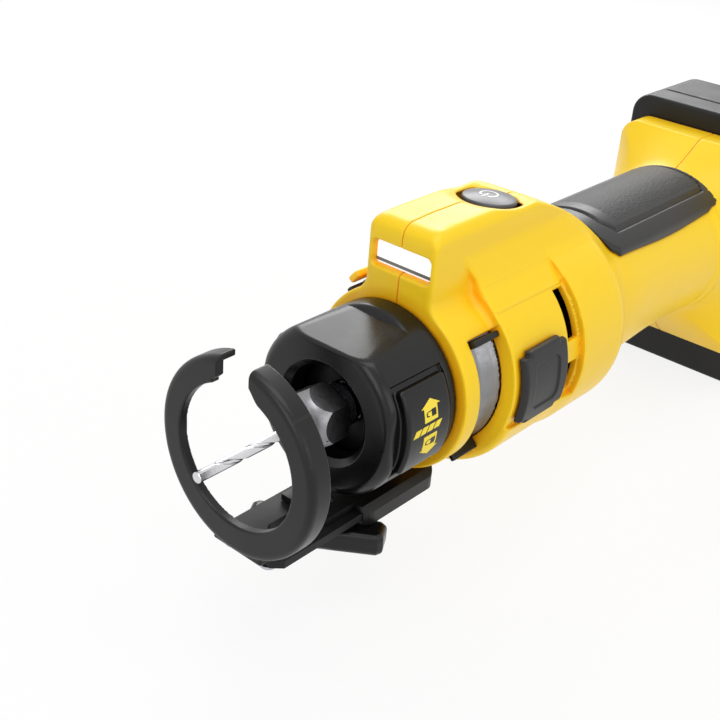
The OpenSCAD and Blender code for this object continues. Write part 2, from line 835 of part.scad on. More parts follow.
x_bit_end = x_spindle - collet_len - 4;
module collet() {
    color(steel) difference() {
        revolve([[bit_r + seat_gap / 2, x_spindle + 0.6], [collet_r - 0.8, x_spindle + 0.6],
            [collet_r, x_spindle],
                 [collet_tip_r, x_spindle - collet_len], [bit_r + seat_gap / 2, x_spindle - collet_len]]);
        for (a = [0, 120, 240])
            rotate([a, 0, 0]) block(x_spindle + 1, x_spindle - collet_len + 4, 0.5, bit_r / 2,
                collet_r + 1);
    }
}

nut_wall = seat_gap;
nut_nose_r = 5.6;
module collet_nut() {
    corner = nut_flats / 2 / cos(30);
    color(steel) difference() {
        intersection() {
            translate([x_nut - nut_len, 0, 0]) rotate([0, 90, 0]) rotate([0, 0, 6])
                cylinder(r = corner, h = nut_len, $fn = 6);
            revolve([[0, x_nut], [nut_nose_r, x_nut], [nut_flats / 2 - 0.6, x_nut - 2.2],
                [corner - 0.6, x_nut - 4.6],
                     [corner + 0.2, x_nut - 6.6], [corner + 0.2, x_nut - nut_len], [0, x_nut - nut_len]]);
        }
        rod(x_nut + 1, x_spindle - 1, bit_r + 0.8);
        rod(x_spindle + 0.9, x_nut - nut_len - 1, spindle_nose_r + nut_wall);
    }
}

// Cutting bit: plain pilot tip, then a shank with two spiral flutes cut as straight slanted grooves
pilot_len = 10;
flute_count = 7;
flute_step = 3.6;
module cutting_bit() {
    color(steel) difference() {
        union() {
            rod(bit_reach - 0.5, x_bit_end, bit_r);
            revolve([[0, bit_reach], [bit_r - 0.5, bit_reach], [bit_r, bit_reach - 0.5],
                [0, bit_reach - 0.5]]);
        }
        for (i = [0:flute_count - 1])
            translate([bit_reach - pilot_len - i * flute_step, 0, 0]) rotate([i * 70, 0, 0])
                translate([0, 0, bit_r + 0.35]) rotate([90, 0, 62])
                    cylinder(r = 0.8, h = 8, center = true, $fn = 24);
    }
}

// Deep groove ball bearings: races with a groove, and the balls between them
front_pitch = 7.5;
front_ball = 1.95;
rear_pitch = 6.25;
rear_ball = 1.7;
ball_gap = 0.07;

module race(front, width, bore, r, pitch, ball) {
    difference() {
        tube(front, front - width, r, bore);
        rotate([0, 90, 0]) translate([0, 0, front - width / 2]) rotate_extrude()
            translate([pitch, 0]) circle(ball + ball_gap, $fn = 48);
    }
}

module balls(front, width, pitch, ball, count) {
    for (i = [0:count - 1])
        rotate([i * 360 / count, 0, 0]) translate([front - width / 2, pitch, 0]) sphere(ball, $fn = 48);
}

module front_outer_race() {
    color(steel) race(x_front_bearing, front_bearing_w, front_pitch + 1.1, front_bearing_r, front_pitch,
        front_ball);
}

module front_inner_race() {
    color(steel) race(x_front_bearing, front_bearing_w, spindle_r + seat_gap / 5, front_pitch - 1.1,
        front_pitch, front_ball);
}

module front_balls() {
    color(steel) balls(x_front_bearing, front_bearing_w, front_pitch, front_ball, 7);
}

module rear_outer_race() {
    color(steel) race(x_rear_bearing, rear_bearing_w, rear_pitch + 1, rear_bearing_r, rear_pitch,
        rear_ball);
}

module rear_inner_race() {
    color(steel) race(x_rear_bearing, rear_bearing_w, tail_r + seat_gap / 5, rear_pitch - 1, rear_pitch,
        rear_ball);
}

module rear_balls() {
    color(steel) balls(x_rear_bearing, rear_bearing_w, rear_pitch, rear_ball, 7);
}

// Motor
tooth_count = 6;
tooth_w = stator_r * 0.267;
yoke = stator_r / 6;
coil_t = stator_r * 0.092;
coil_over = 3.2;
bore_r = rotor_r + air_gap;
yoke_r = stator_r - yoke;

module stator_core() {
    color("dimgray") {
        tube(x_stator, x_stator_end, stator_r, yoke_r);
        intersection() {
            tube(x_stator, x_stator_end, yoke_r + 0.5, bore_r);
            for (i = [0:tooth_count - 1])
                rotate([i * 360 / tooth_count, 0, 0])
                    block_y(x_stator, x_stator_end, bore_r - 1, yoke_r + 1, tooth_w);
        }
    }
}

module stator_coils() {
    low = bore_r + 1;
    high = yoke_r - 1.2;
    color("#b4592b") for (i = [0:tooth_count - 1])
        rotate([i * 360 / tooth_count, 0, 0]) difference() {
            block_y(x_stator + coil_over, x_stator_end - coil_over, low, high, tooth_w + 2 * coil_t);
            block_y(x_stator + part_gap, x_stator_end - part_gap, low - 1, high + 1, tooth_w + part_gap);
        }
}

module stator_insulators() {
    color("ivory") {
        tube(x_stator + insulator_len, x_stator + seat_gap, stator_r - 0.6, yoke_r + 0.4);
        tube(x_stator_end - seat_gap, x_stator_end - insulator_len, stator_r - 0.6, yoke_r + 0.4);
    }
}

magnet_t = 1.3;
magnet_arc = 84;
module rotor_core() {
    color("gray") tube(x_stator - 1, x_stator_end + 1, rotor_r - magnet_t - seat_gap / 2,
        spindle_r + seat_gap / 5);
}

module rotor_magnets() {
    color("#3a3a42") for (i = [0:3])
        sector([[rotor_r - magnet_t, x_stator - 1], [rotor_r, x_stator - 1], [rotor_r, x_stator_end + 1],
                [rotor_r - magnet_t, x_stator_end + 1]], i * 90, i * 90 + magnet_arc);
}

fan_hub_r = 7;
fan_disc = 1.4;
fan_depth = 6;
x_fan = x_slot - 1.4;
blade_t = 1.1;
module cooling_fan() {
    color(black) {
        tube(x_fan, x_fan - fan_depth - 1, fan_hub_r, spindle_r + seat_gap / 5);
        tube(x_fan - fan_depth + fan_disc, x_fan - fan_depth, fan_r, fan_hub_r - 1);
        for (i = [0:fan_blades - 1])
            rotate([i * 360 / fan_blades, 0, 0]) rotate([14, 0, 0])
                block_y(x_fan, x_fan - fan_depth + 0.5, fan_hub_r - 0.4, fan_r - 0.8, blade_t);
    }
}

frame_rim = 3;
spoke_w = 6;
bearing_cup = 2.4;
module end_frame() {
    seat_r = rear_bearing_r + seat_gap / 5;
    rim_r = barrel_r - wall - part_gap / 2;
    color(black) difference() {
        union() {
            tube(x_end_frame, x_end_frame - 3, rim_r, rim_r - frame_rim);
            tube(x_end_frame, x_end_frame - end_frame_t - 1.6, rear_bearing_r + bearing_cup, tail_r + 1);
            for (i = [0:5])
                rotate([i * 60, 0, 0]) block_y(x_end_frame, x_end_frame - 3, rear_bearing_r + 1,
                    rim_r - 1, spoke_w);
        }
        rod(x_end_frame + 1, x_rear_bearing - rear_bearing_w - seat_gap, seat_r);
    }
}

x_sensor = x_stator_end - insulator_len - 0.1;
module sensor_board() {
    color("darkgreen") tube(x_sensor, x_sensor - board_t, stator_r - 1, spindle_r + 2);
}

// Light
module light_lens() {
    color("white") along_x(x_ring - lens_back, x_ring - lens_back - lens_t) window_shape(-0.1);
}

module light_reflector() {
    x = x_ring - lens_back - lens_t - seat_gap;
    color("silver") difference() {
        along_x(x, x - reflector_d) window_shape(0);
        along_x(x + 1, x - reflector_d - 1) window_shape(-1.2);
    }
}

module light_board() {
    x = x_ring - lens_back - lens_t - reflector_d - 2 * seat_gap;
    color("white") {
        along_x(x, x - board_t) window_shape(0);
        for (i = [-1, 0, 1])
            along_x(x + 0.8, x - eps) translate([i * 5.5, window_z]) square([3, 3], center = true);
    }
}

// Power button, its spring and switch
button_dome = 34;
stem_r = 2;
stem_len = 2.6;
spring_bore = 4.6;
module power_button() {
    color("#6f6f75") at_button() {
        difference() {
            intersection() {
                translate([0, 0, -button_t]) cylinder(r = button_r, h = 2 * button_t);
                translate([0, 0, 0.8 - button_dome]) sphere(r = button_dome);
            }
            translate([0, 0, -button_t - 1]) cylinder(r = spring_bore, h = 2.2 + button_travel);
        }
        translate([0, 0, -button_t - stem_len]) cylinder(r = stem_r, h = stem_len + 2.4);
    }
}

spring_r = 3.6;
spring_wire = 0.7;
switch_h = 5;
switch_len = 18;
z_switch = -button_t - stem_len - button_travel - 0.3;
module button_spring() {
    top = -button_t + 1;
    color(steel) at_button() difference() {
        translate([0, 0, z_switch + seat_gap]) cylinder(r = spring_r, h = top - z_switch - seat_gap);
        translate([0, 0, z_switch - 1]) cylinder(r = spring_r - spring_wire, h = top - z_switch + 2);
    }
}

module power_switch() {
    color("#333333") at_button() difference() {
        translate([-switch_len / 2, -(tower_w / 2 - wall - seat_gap), z_switch - switch_h])
            cube([switch_len, tower_w - 2 * wall - 2 * seat_gap, switch_h]);
        translate([0, 0, z_switch - 1]) cylinder(r = 1, h = 2);
    }
}

// Controller in the handle, held by a tray on two rails
tray_w = 34;
tray_h = 24;
tray_end_room = 10;
tray_front_room = 12;
tray_len = handle_len - tray_front_room - tray_end_room;
tray_wall = 1.6;
x_tray = x_handle - tray_front_room;
module controller_tray() {
    color("#444444") difference() {
        block(x_tray, x_tray - tray_len, tray_w, -tray_h / 2, tray_h / 2);
        block(x_tray - tray_wall, x_tray - tray_len + tray_wall, tray_w - 2 * tray_wall,
            tray_wall - tray_h / 2, tray_h);
    }
}

part_y = 7;
part_w = 6;
part_h = 5;
module controller_board() {
    z = tray_wall - tray_h / 2 + seat_gap;
    color("darkgreen") {
        block(x_tray - tray_wall - part_gap, x_tray - tray_len + tray_wall + part_gap,
              tray_w - 2 * tray_wall - 2 * part_gap, z, z + board_t);
        for (i = [1:3], s = [-1, 1])
            translate([x_tray - i * tray_len / 4, s * part_y, z + board_t - eps]) linear_extrude(part_h)
                square([tray_len * 0.16, part_w], center = true);
    }
}

// Terminal block at the closed end of the rail pocket, with three blades
terminal_w = 30;
terminal_neck_w = 24;
terminal_low = 18;
terminal_neck = 23;
terminal_d = 8;
module terminal_block() {
    color("#222222") {
        block(x_foot_wall - seat_gap, x_foot_wall - terminal_d, terminal_w, terminal_low,
            pocket_up - seat_gap);
        block(x_foot_wall + foot_wall + 1.5, x_foot_wall - 1, terminal_neck_w, terminal_low,
            terminal_neck);
    }
}

blade_w = 5;
blade_thick = 0.8;
blade_len = 12;
blade_pitch = 9;
x_blade = x_foot_wall - terminal_d / 2 - blade_w / 2;
module terminal_blades() {
    color("goldenrod") for (i = [-1, 0, 1])
        translate([x_blade, i * blade_pitch - blade_thick / 2, terminal_low - blade_len])
            cube([blade_w, blade_thick, blade_len - seat_gap]);
}

// Two battery leads from the terminal block to the controller,
// three motor leads forward to the sensor board
lead_r = 1.3;
lead_leg_r = 1.1;
lead_z = handle_r - wall - 4.7;
motor_lead_z = lead_z - 3.5;
motor_lead_pitch = 4;
module lead(front, back, y, z) {
    translate([back, y, z]) rotate([0, 90, 0]) cylinder(r = lead_r, h = front - back, $fn = 48);
}

module lead_leg(x, y, low, high) {
    translate([x, y, low]) cylinder(r = lead_leg_r, h = high - low, $fn = 48);
}

module power_leads() {
    board_top = tray_wall - tray_h / 2 + 2 * seat_gap + board_t;
    x_back = x_tray - tray_len + 5;
    color("firebrick") {
        for (s = [-1, 1]) {
            lead(x_back + 2, x_foot_wall + foot_wall + 1.5 + seat_gap, s * 8, lead_z);
            lead_leg(x_back, s * 8, board_top, lead_z);
        }
        for (i = [-1, 0, 1]) {
            lead(x_sensor - board_t - seat_gap, x_tray - 8, i * motor_lead_pitch, motor_lead_z);
            lead_leg(x_tray - 6, i * motor_lead_pitch, board_top, motor_lead_z);
        }
    }
}

// Intake covers and the screens behind them
cover_notch = 3.2;
lug_len = 3;
lug_d = wall + 1.2;
module intake_cover(side) {
    r0 = panel_r + cover_gap;
    r1 = r0 + cover_t;
    from = side > 0 ? -cover_down : 180 - cover_up;
    span = cover_up + cover_down;
    color("#6c6c6c") difference() {
        union() {
            sector([[r0, x_cover], [r1 - 0.8, x_cover], [r1, x_cover - 1],
                [r1, x_cover - cover_len + 0.6],
                    [r1 - 0.6, x_cover - cover_len], [r0, x_cover - cover_len]], from, from + span);
            for (a = [from + 9, from + span - 13])
                sector([[barrel_r - lug_d, x_cover - window_border - part_gap],
                    [r0 + 0.4, x_cover - window_border - part_gap],
                        [r0 + 0.4, x_cover - window_border - part_gap - lug_len],
                        [barrel_r - lug_d, x_cover - window_border - part_gap - lug_len]], a, a + 4);
        }
        // notched corners
        for (a = [from, from + span], x = [x_cover, x_cover - cover_len])
            rotate([a, 0, 0]) translate([x, r0, 0])
                cube([2 * cover_notch, 2 * cover_t + 4, 3], center = true);
    }
}

module intake_cover_left() {
    intake_cover(1);
}

module intake_cover_right() {
    intake_cover(-1);
}

screen_bars = 7;
module filter_screen(side) {
    r1 = barrel_r - wall - seat_gap;
    from = side > 0 ? -cover_down + 3 : 180 - cover_up + 3;
    span = cover_up + cover_down - 6;
    x0 = x_cover - window_border + 1.6;
    x1 = x_cover - cover_len + window_border - 1.6;
    step = (span - 6) / screen_bars;
    color("#555555") difference() {
        sector([[r1 - screen_t, x0], [r1, x0], [r1, x1], [r1 - screen_t, x1]], from, from + span);
        for (i = [0:screen_bars - 1])
            sector([[r1 - 2, x0 - 2], [r1 + 1, x0 - 2], [r1 + 1, x1 + 2], [r1 - 2, x1 + 2]],
                   from + 3 + i * step + 0.8, from + 3 + (i + 1) * step - 0.8);
        for (a = [from + 6 + 0, from + span - 10])
            sector([[r1 - 2, x0 + 1], [r1 + 1, x0 + 1], [r1 + 1, x0 - 7], [r1 - 2, x0 - 7]], a - 1,
                a + 5);
    }
}

module filter_screen_left() {
    filter_screen(1);
}

module filter_screen_right() {
    filter_screen(-1);
}

// Depth guide
x_rim = -foot_depth;
post_w = 19;
post_back = 3;
post_rise = 5;
rivet_r = 1.6;
rivet_y = 7;
x_arm = -arm_setback;
x_arm_end = x_arm - arm_len;
x_rivet = x_arm - 1.9;

// Ends of the foot's two limbs beside the gap
gap_left = foot_gap_y + foot_gap / 2;
gap_right = foot_gap_y - foot_gap / 2;
limb_chamfer = 1.6;
limb_slope = 3.4;
limb_rise = 2.4;
limb_drop = 1.8;
module guide_foot() {
    color(black) difference() {
        union() {
            revolve([[foot_in_r, 0], [foot_face_r, 0], [foot_face_r, -foot_step], [foot_r, -foot_step],
                [foot_r, x_rim],
                     [foot_r - foot_rim, x_rim], [foot_r - foot_rim, -foot_plate],
                         [foot_in_r, -foot_plate]]);
            block(-foot_step, x_rim - post_back, post_w, z_arm, -foot_r + post_rise);
        }
        along_x(1, x_rim - 1) polygon([
            [gap_right - limb_chamfer, 0], [gap_right - limb_chamfer, foot_in_r - limb_chamfer / 2],
            [gap_right, foot_in_r + limb_chamfer / 2], [gap_right, 2 * foot_r], [gap_left, 2 * foot_r],
            [gap_left, foot_in_r + limb_rise], [gap_left + limb_slope, foot_in_r - limb_drop],
            [gap_left + limb_slope, 0]]);
        for (s = [-1, 1])
            translate([x_rivet, s * rivet_y, z_arm - 1])
                cylinder(r = rivet_r + seat_gap / 5, h = 4, $fn = 48);
    }
}

arm_chamfer = 3;
slot_half = clamp_screw_r + part_gap;
module guide_arm() {
    half = arm_w / 2;
    color("#3d3d3d") difference() {
        along_z(z_arm_low, z_arm) polygon([[x_arm, half - arm_chamfer], [x_arm - arm_chamfer, half],
            [x_arm_end + arm_chamfer, half],
            [x_arm_end, half - arm_chamfer], [x_arm_end, arm_chamfer - half],
                [x_arm_end + arm_chamfer, -half],
            [x_arm - arm_chamfer, -half], [x_arm, arm_chamfer - half]]);
        along_z(z_arm_low - 1, z_arm + 1) {
            for (x = [guide_in - clamp_back, -guide_out - clamp_back]) translate([x, 0])
                circle(slot_half);
            translate([-guide_out - clamp_back, -slot_half])
                square([guide_in + guide_out, 2 * slot_half]);
        }
        for (s = [-1, 1])
            translate([x_rivet, s * rivet_y, z_arm_low - 1])
                cylinder(r = rivet_r + seat_gap / 5, h = 6, $fn = 48);
    }
}

rivet_head = 0.9;
module guide_rivets() {
    color(steel) for (s = [-1, 1])
        translate([x_rivet, s * rivet_y, 0]) {
            translate([0, 0, z_arm_low - rivet_head]) cylinder(r = rivet_r + 1, h = rivet_head, $fn = 48);
            translate([0, 0, z_arm_low - eps]) cylinder(r = rivet_r, h = arm_t + 2.9, $fn = 48);
        }
}

bracket_chamfer = 2;
bracket_round = 4;
x_bracket_hole = x_ring - 8;
bracket_hole_y = 5;
nut_h = 2.2;
clamp_nut_r = 4.6;
module guide_bracket() {
    inner = arm_w / 2 + slide_gap;
    half = inner + bracket_wall;
    color(black) difference() {
        union() {
            intersection() {
                along_x(x_bracket, x_bracket_end) difference() {
                    polygon([[-half, z_bracket_low], [half, z_bracket_low],
                        [half, z_roof - bracket_chamfer],
                             [half - bracket_chamfer, z_roof], [bracket_chamfer - half, z_roof],
                                 [-half, z_roof - bracket_chamfer]]);
                    translate([-inner, z_lip]) square([2 * inner, z_channel - z_lip]);
                    translate([bracket_lip_w - inner, z_bracket_low - 1])
                        square([2 * (inner - bracket_lip_w), bracket_lip + 2]);
                }
                along_z(z_bracket_low - 1, z_roof + 1) translate([(x_bracket + x_bracket_end) / 2, 0])
                    round_rect(bracket_len, 2 * half, bracket_round);
            }
            block(x_bracket + tongue_len, x_bracket - 1, tongue_w, z_channel, z_roof);
        }
        translate([-clamp_back, 0, z_channel - 1])
            cylinder(r = clamp_screw_r + part_gap, h = 10, $fn = 48);
        translate([-clamp_back, 0, z_roof - nut_h]) cylinder(r = clamp_nut_r + 0.1, h = 5, $fn = 6);
        for (y = [-1, 1]) translate([x_bracket_hole, y * bracket_hole_y, z_channel - 1]) {
            cylinder(r = 1.7, h = 6, $fn = 48);
            cylinder(r = 3, h = 1 + 1.1, $fn = 48);
        }
    }
}

module bracket_screws() {
    color(steel) for (y = [-1, 1])
        translate([x_bracket_hole, y * bracket_hole_y, z_channel]) {
            translate([0, 0, 0.1]) cylinder(r = 2.8, h = 1, $fn = 48);
            cylinder(r = 1.25, h = bracket_roof + 4, $fn = 48);
        }
}

module clamp_nut() {
    color(steel) translate([-clamp_back, 0, z_roof - nut_h + seat_gap]) difference() {
        cylinder(r = clamp_nut_r, h = nut_h - 0.2, $fn = 6);
        translate([0, 0, -1]) cylinder(r = clamp_screw_r + seat_gap, h = nut_h + 2, $fn = 48);
    }
}

hub_r = 8;
wing_root = 6.5;
wing_tip = 4.6;
wing_round = 1.6;
module clamp_knob() {
    low = z_wing - wing_h;
    color(black) translate([-clamp_back, 0, 0]) difference() {
        union() {
            translate([0, 0, low + 2]) cylinder(r = hub_r, h = z_lip - low - 2);
            along_z(low, z_wing) rotate(wing_angle) polygon([
                [wing_reach, wing_round - wing_tip], [wing_reach, wing_tip - wing_round],
                    [wing_reach - wing_round, wing_tip],
                [0, wing_root], [wing_round - wing_reach, wing_tip], [-wing_reach, wing_tip - wing_round],
                [-wing_reach, wing_round - wing_tip], [wing_round - wing_reach, -wing_tip],
                    [0, -wing_root],
                [wing_reach - wing_round, -wing_tip]]);
        }
        translate([0, 0, low - 1]) cylinder(r = clamp_screw_r + seat_gap / 5, h = 2 * wing_h + 10,
            $fn = 48);
    }
}

module clamp_screw() {
    low = z_wing - wing_h + 1.2;
    color(steel) translate([-clamp_back, 0, low])
        cylinder(r = clamp_screw_r, h = z_roof - 0.4 - low, $fn = 48);
}

// Battery pack
x_pack = x_foot - face_gap;
x_pack_split = x_pack - pack_top_t;
x_pack_end = x_pack_split - pack_base_t;
pack_mid = pack_up - pack_h / 2;
pack_wall = 2;
blade_slot = 0.6;

module pack_outline(inset) {
    translate([0, pack_mid]) round_rect(pack_w - 2 * inset, pack_h - 2 * inset, pack_corner - inset);
}

module rail_form() {
    head_back = x_foot + lip_t + rail_gap;
    block(head_back + 1, x_pack - 1, rail_w - 2 * rail_lip, -rail_down, rail_up);
    block(x_foot_wall - 2 * rail_gap, head_back, rail_w, -rail_down, rail_up);
}

release_w = 16;
release_h = 7.4;
release_t = 3;
release_travel = 2;
z_release = -40;
x_release = x_pack - pack_top_t / 2;

module release_window() {
    translate([x_release, 0, z_release])
        cube([release_h + 2 * part_gap, pack_w + 10, release_w + 2 * part_gap], center = true);
}

module pack_top_case() {
    color("#262626") difference() {
        union() {
            along_x(x_pack, x_pack_split) pack_outline(0);
            rail_form();
        }
        along_x(x_pack - pack_wall, x_pack_split - 1) pack_outline(pack_wall);
        // slots for the blades, open towards the closed end of the pocket
        for (i = [-1, 0, 1])
            translate([x_blade - blade_slot, i * blade_pitch - blade_thick / 2 - blade_slot,
                terminal_low - blade_len - 2])
                cube([blade_w + 2 * blade_slot, blade_thick + 2 * blade_slot, 40]);
        difference() {
            release_window();
            block(x_pack + 1, x_pack_split - 1, pack_w - 2 * pack_wall, -big, big);
        }
    }
    // posts that take the pack screws, and seats for the release springs
    color("#262626") {
        for (p = pack_screw_places)
            tube_at(x_pack - pack_wall + eps, x_pack_split + seat_gap, p, pack_post_r,
                pack_screw_r + seat_gap);
        for (s = [-1, 1])
            translate([x_release - 4, s * (release_reach - release_spring_len - 1) - 1 + seat_gap * -s,
                z_release - 4])
                cube([x_pack - pack_wall + eps - x_release + 4, 2, 8]);
    }
}

module x_rod_at(front, back, p, r) {
    translate([back, p[0], p[1]]) rotate([0, 90, 0]) cylinder(r = r, h = front - back, $fn = 48);
}

module tube_at(front, back, p, r, bore) {
    difference() {
        x_rod_at(front, back, p, r);
        x_rod_at(front - 2, back - 1, p, bore);
    }
}

pack_screw_inset = 5.4;
pack_post_r = 2.9;
pack_screw_r = 1.25;
pack_head_r = 1.9;
pack_screw_places = [for (sy = [-1, 1],
    z = [pack_up - pack_screw_inset, pack_up - pack_h + pack_screw_inset])
    [sy * (pack_w / 2 - pack_screw_inset), z]];

gauge_w = 14;
gauge_h = 6;
x_gauge = x_pack_split - 9;
module pack_base_case() {
    color("#202020") difference() {
        along_x(x_pack_split - seat_gap, x_pack_end) pack_outline(0);
        along_x(x_pack_split + 1, x_pack_end + pack_wall) difference() {
            pack_outline(pack_wall);
            for (p = pack_screw_places) translate(p) circle(pack_post_r, $fn = 48);
        }
        for (p = pack_screw_places) {
            x_rod_at(x_pack_split - 4, x_pack_end - 1, p, pack_head_r + 0.2);
            x_rod_at(x_pack_split + 1, x_pack_end, p, pack_screw_r + 0.2);
        }
        block(x_gauge + gauge_h / 2 + 0.2, x_gauge - gauge_h / 2 - 0.2, gauge_w + 0.4,
              pack_up - pack_h - 1, pack_up - pack_h + pack_wall + 1);
    }
}

x_cells = x_pack_split - pack_base_t / 2 + 0.4;
function cell_z(i) = pack_mid + (i - (cell_count - 1) / 2) * cell_pitch;

module pack_cells() {
    color("steelblue") for (i = [0:cell_count - 1])
        translate([x_cells, -cell_len / 2, cell_z(i)]) rotate([-90, 0, 0])
            cylinder(r = cell_r, h = cell_len, $fn = 64);
}

carrier_t = 8;
carrier_inset = 11;
module cell_carrier() {
    low = cell_z(0) - cell_r;
    high = cell_z(cell_count - 1) + cell_r;
    color("#4a4a4a") for (s = [-1, 1])
        difference() {
            translate([x_cells, s * (cell_len / 2 - carrier_inset), (low + high) / 2])
                cube([2 * cell_r + 2, carrier_t, high - low + 1], center = true);
            for (i = [0:cell_count - 1])
                translate([x_cells, -cell_len, cell_z(i)]) rotate([-90, 0, 0])
                    cylinder(r = cell_r + 0.1, h = 2 * cell_len, $fn = 64);
        }
}

board_inset = 9.5;
module pack_board() {
    color("darkgreen") along_x(x_cells + cell_r + 1 + seat_gap + board_t, x_cells + cell_r + 1 + seat_gap)
        translate([0, pack_mid]) square([cell_len - 2 * board_inset, pack_h - 4 * board_inset],
            center = true);
}

contact_t = 0.5;
module pack_contacts() {
    x = x_cells + cell_r + 1 + seat_gap + board_t + seat_gap;
    color("goldenrod") for (i = [-1, 0, 1])
        translate([x, i * blade_pitch + blade_thick, terminal_low - blade_len - 8])
            cube([x_pack - pack_wall - x - 0.2, contact_t, 5]);
}

module release(side) {
    color("#d9a400") translate([x_release, side * (pack_w / 2 - release_t / 2 + 0.6), z_release]) {
        cube([release_h, release_t, release_w], center = true);
        translate([0, -side * (release_t / 2 + 0.9), 0])
            cube([release_h + 2, 1.8, release_w + 2.4], center = true);
    }
}

module release_left() {
    release(1);
}

module release_right() {
    release(-1);
}

release_spring_r = 2;
release_spring_len = 10;
release_reach = pack_w / 2 - release_t - 1.2 - release_travel - part_gap;
module release_springs() {
    color(steel) for (s = [-1, 1])
        translate([x_release, s * (release_reach - release_spring_len / 2), z_release])
            rotate([-90, 0, 0])
            difference() {
                cylinder(r = release_spring_r, h = release_spring_len, center = true, $fn = 48);
                cylinder(r = release_spring_r - 0.5, h = release_spring_len + 2, center = true, $fn = 48);
            }
}

gauge_proud = 0.3;
module gauge_button() {
    low = pack_up - pack_h - gauge_proud;
    color("#6f6f75") {
        block(x_gauge + gauge_h / 2, x_gauge - gauge_h / 2, gauge_w, low, low + pack_wall + 0.6);
        block(x_gauge + gauge_h / 2 + 1, x_gauge - gauge_h / 2 - 1, gauge_w + 2,
            low + gauge_proud + pack_wall + 0.25, low + pack_wall + 1.4);
    }
}

module pack_screws() {
    color(steel) for (p = pack_screw_places) {
        x_rod_at(x_pack_split + 6, x_pack_split - 5, p, pack_screw_r);
        x_rod_at(x_pack_split - 4 - seat_gap, x_pack_split - 6, p, pack_head_r);
    }
}

housing_left();
housing_right();
handle_grip();
housing_screws();
exhaust_guard();
nose_tube();
collar_ring();
lock_collar();
spindle();
collet();
collet_nut();
cutting_bit();
front_outer_race();
front_inner_race();
front_balls();
rear_outer_race();
rear_inner_race();
rear_balls();
stator_core();
stator_insulators();
stator_coils();
rotor_core();
rotor_magnets();
cooling_fan();
end_frame();
sensor_board();
light_lens();
light_reflector();
light_board();
power_button();
button_spring();
power_switch();
controller_tray();
controller_board();
terminal_block();
terminal_blades();
power_leads();
intake_cover_left();
intake_cover_right();
filter_screen_left();
filter_screen_right();
guide_foot();
guide_arm();
guide_rivets();
guide_bracket();
bracket_screws();
clamp_nut();
clamp_knob();
clamp_screw();
pack_top_case();
pack_base_case();
pack_cells();
cell_carrier();
pack_board();
pack_contacts();
release_left();
release_right();
release_springs();
gauge_button();
pack_screws();
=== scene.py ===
# %% [markdown]
# # A drywall cut-out tool, dressed for the camera
#
# The tool is a yellow two-part housing on a small brushless motor. A black lock collar turns on its
# nose, a depth guide slides under the nose, and a battery pack slides on behind. The solids come from
# a CAD model that is already packed, so here we only dress them: each cell makes one piece or one
# finish, in the CAD model's own frame. +X points forward along the bit, +Y to the tool's left, +Z up.

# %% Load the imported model
import math

import bpy
import numpy as np
from mathutils import Matrix, Vector


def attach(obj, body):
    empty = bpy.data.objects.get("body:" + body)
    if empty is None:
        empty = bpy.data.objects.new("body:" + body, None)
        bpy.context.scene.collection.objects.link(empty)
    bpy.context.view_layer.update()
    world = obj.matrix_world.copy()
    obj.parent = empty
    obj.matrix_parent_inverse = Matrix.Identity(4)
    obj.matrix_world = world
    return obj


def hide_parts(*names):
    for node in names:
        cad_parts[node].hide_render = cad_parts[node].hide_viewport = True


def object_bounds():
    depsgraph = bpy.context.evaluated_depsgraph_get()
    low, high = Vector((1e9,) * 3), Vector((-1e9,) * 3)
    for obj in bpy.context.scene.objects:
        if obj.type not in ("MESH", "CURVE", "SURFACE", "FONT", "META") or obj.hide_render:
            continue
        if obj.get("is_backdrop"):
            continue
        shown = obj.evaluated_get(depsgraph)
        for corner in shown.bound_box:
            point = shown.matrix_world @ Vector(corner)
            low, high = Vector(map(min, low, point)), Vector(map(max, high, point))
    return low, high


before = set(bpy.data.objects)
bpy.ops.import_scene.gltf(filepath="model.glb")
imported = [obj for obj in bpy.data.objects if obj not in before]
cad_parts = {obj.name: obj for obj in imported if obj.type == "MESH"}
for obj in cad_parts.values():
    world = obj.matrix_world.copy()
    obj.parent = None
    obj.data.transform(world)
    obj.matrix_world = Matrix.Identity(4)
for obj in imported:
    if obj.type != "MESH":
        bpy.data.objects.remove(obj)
cad_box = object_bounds()
MM = 0.001
scene = bpy.context.scene
scene.view_settings.view_transform = "Standard"

# %% [markdown]
# ## The camera
#
# The picture looks at the tool from its front left and from above, with the camera rolled a little.
# Its place and its three axes were found by fitting the circles of the foot, the ring and the barrel.
# It could be turned by three angles, but a rotation matrix built from the camera's own right, up and
# back is safer, because nothing can turn the wrong way.

# %% Camera
CAMERA_AT = (187.3, 193.2, 178.6)
CAMERA_RIGHT = (-0.65907, 0.74885, 0.06976)
CAMERA_UP = (-0.31966, -0.36287, 0.87531)
CAMERA_BACK = (0.68078, 0.55458, 0.47853)
FOCAL_PIXELS = 1206
IMAGE_PIXELS = 720

lens = bpy.data.cameras.new("photo_camera")
lens.sensor_width = 36
lens.lens = 36 * FOCAL_PIXELS / IMAGE_PIXELS
lens.clip_start = 0.01
camera = bpy.data.objects.new("photo_camera", lens)
camera.matrix_world = Matrix.Translation(Vector(CAMERA_AT) * MM) @ Matrix(
    [CAMERA_RIGHT, CAMERA_UP, CAMERA_BACK]
).transposed().to_4x4()
scene.collection.objects.link(camera)
scene.camera = camera
print("lens", round(lens.lens, 1), "mm")

# %% [markdown]
# ## One function for shader nodes
#
# Each finish below is a small graph of nodes. Adding a node always means the same three things: set
# its settings, link some inputs, and type values into others. One function does all three, so a
# finish reads from top to bottom like a recipe. Colours are written as sRGB hex, as a paint card
# gives them, and turned to the linear values that the renderer works in.


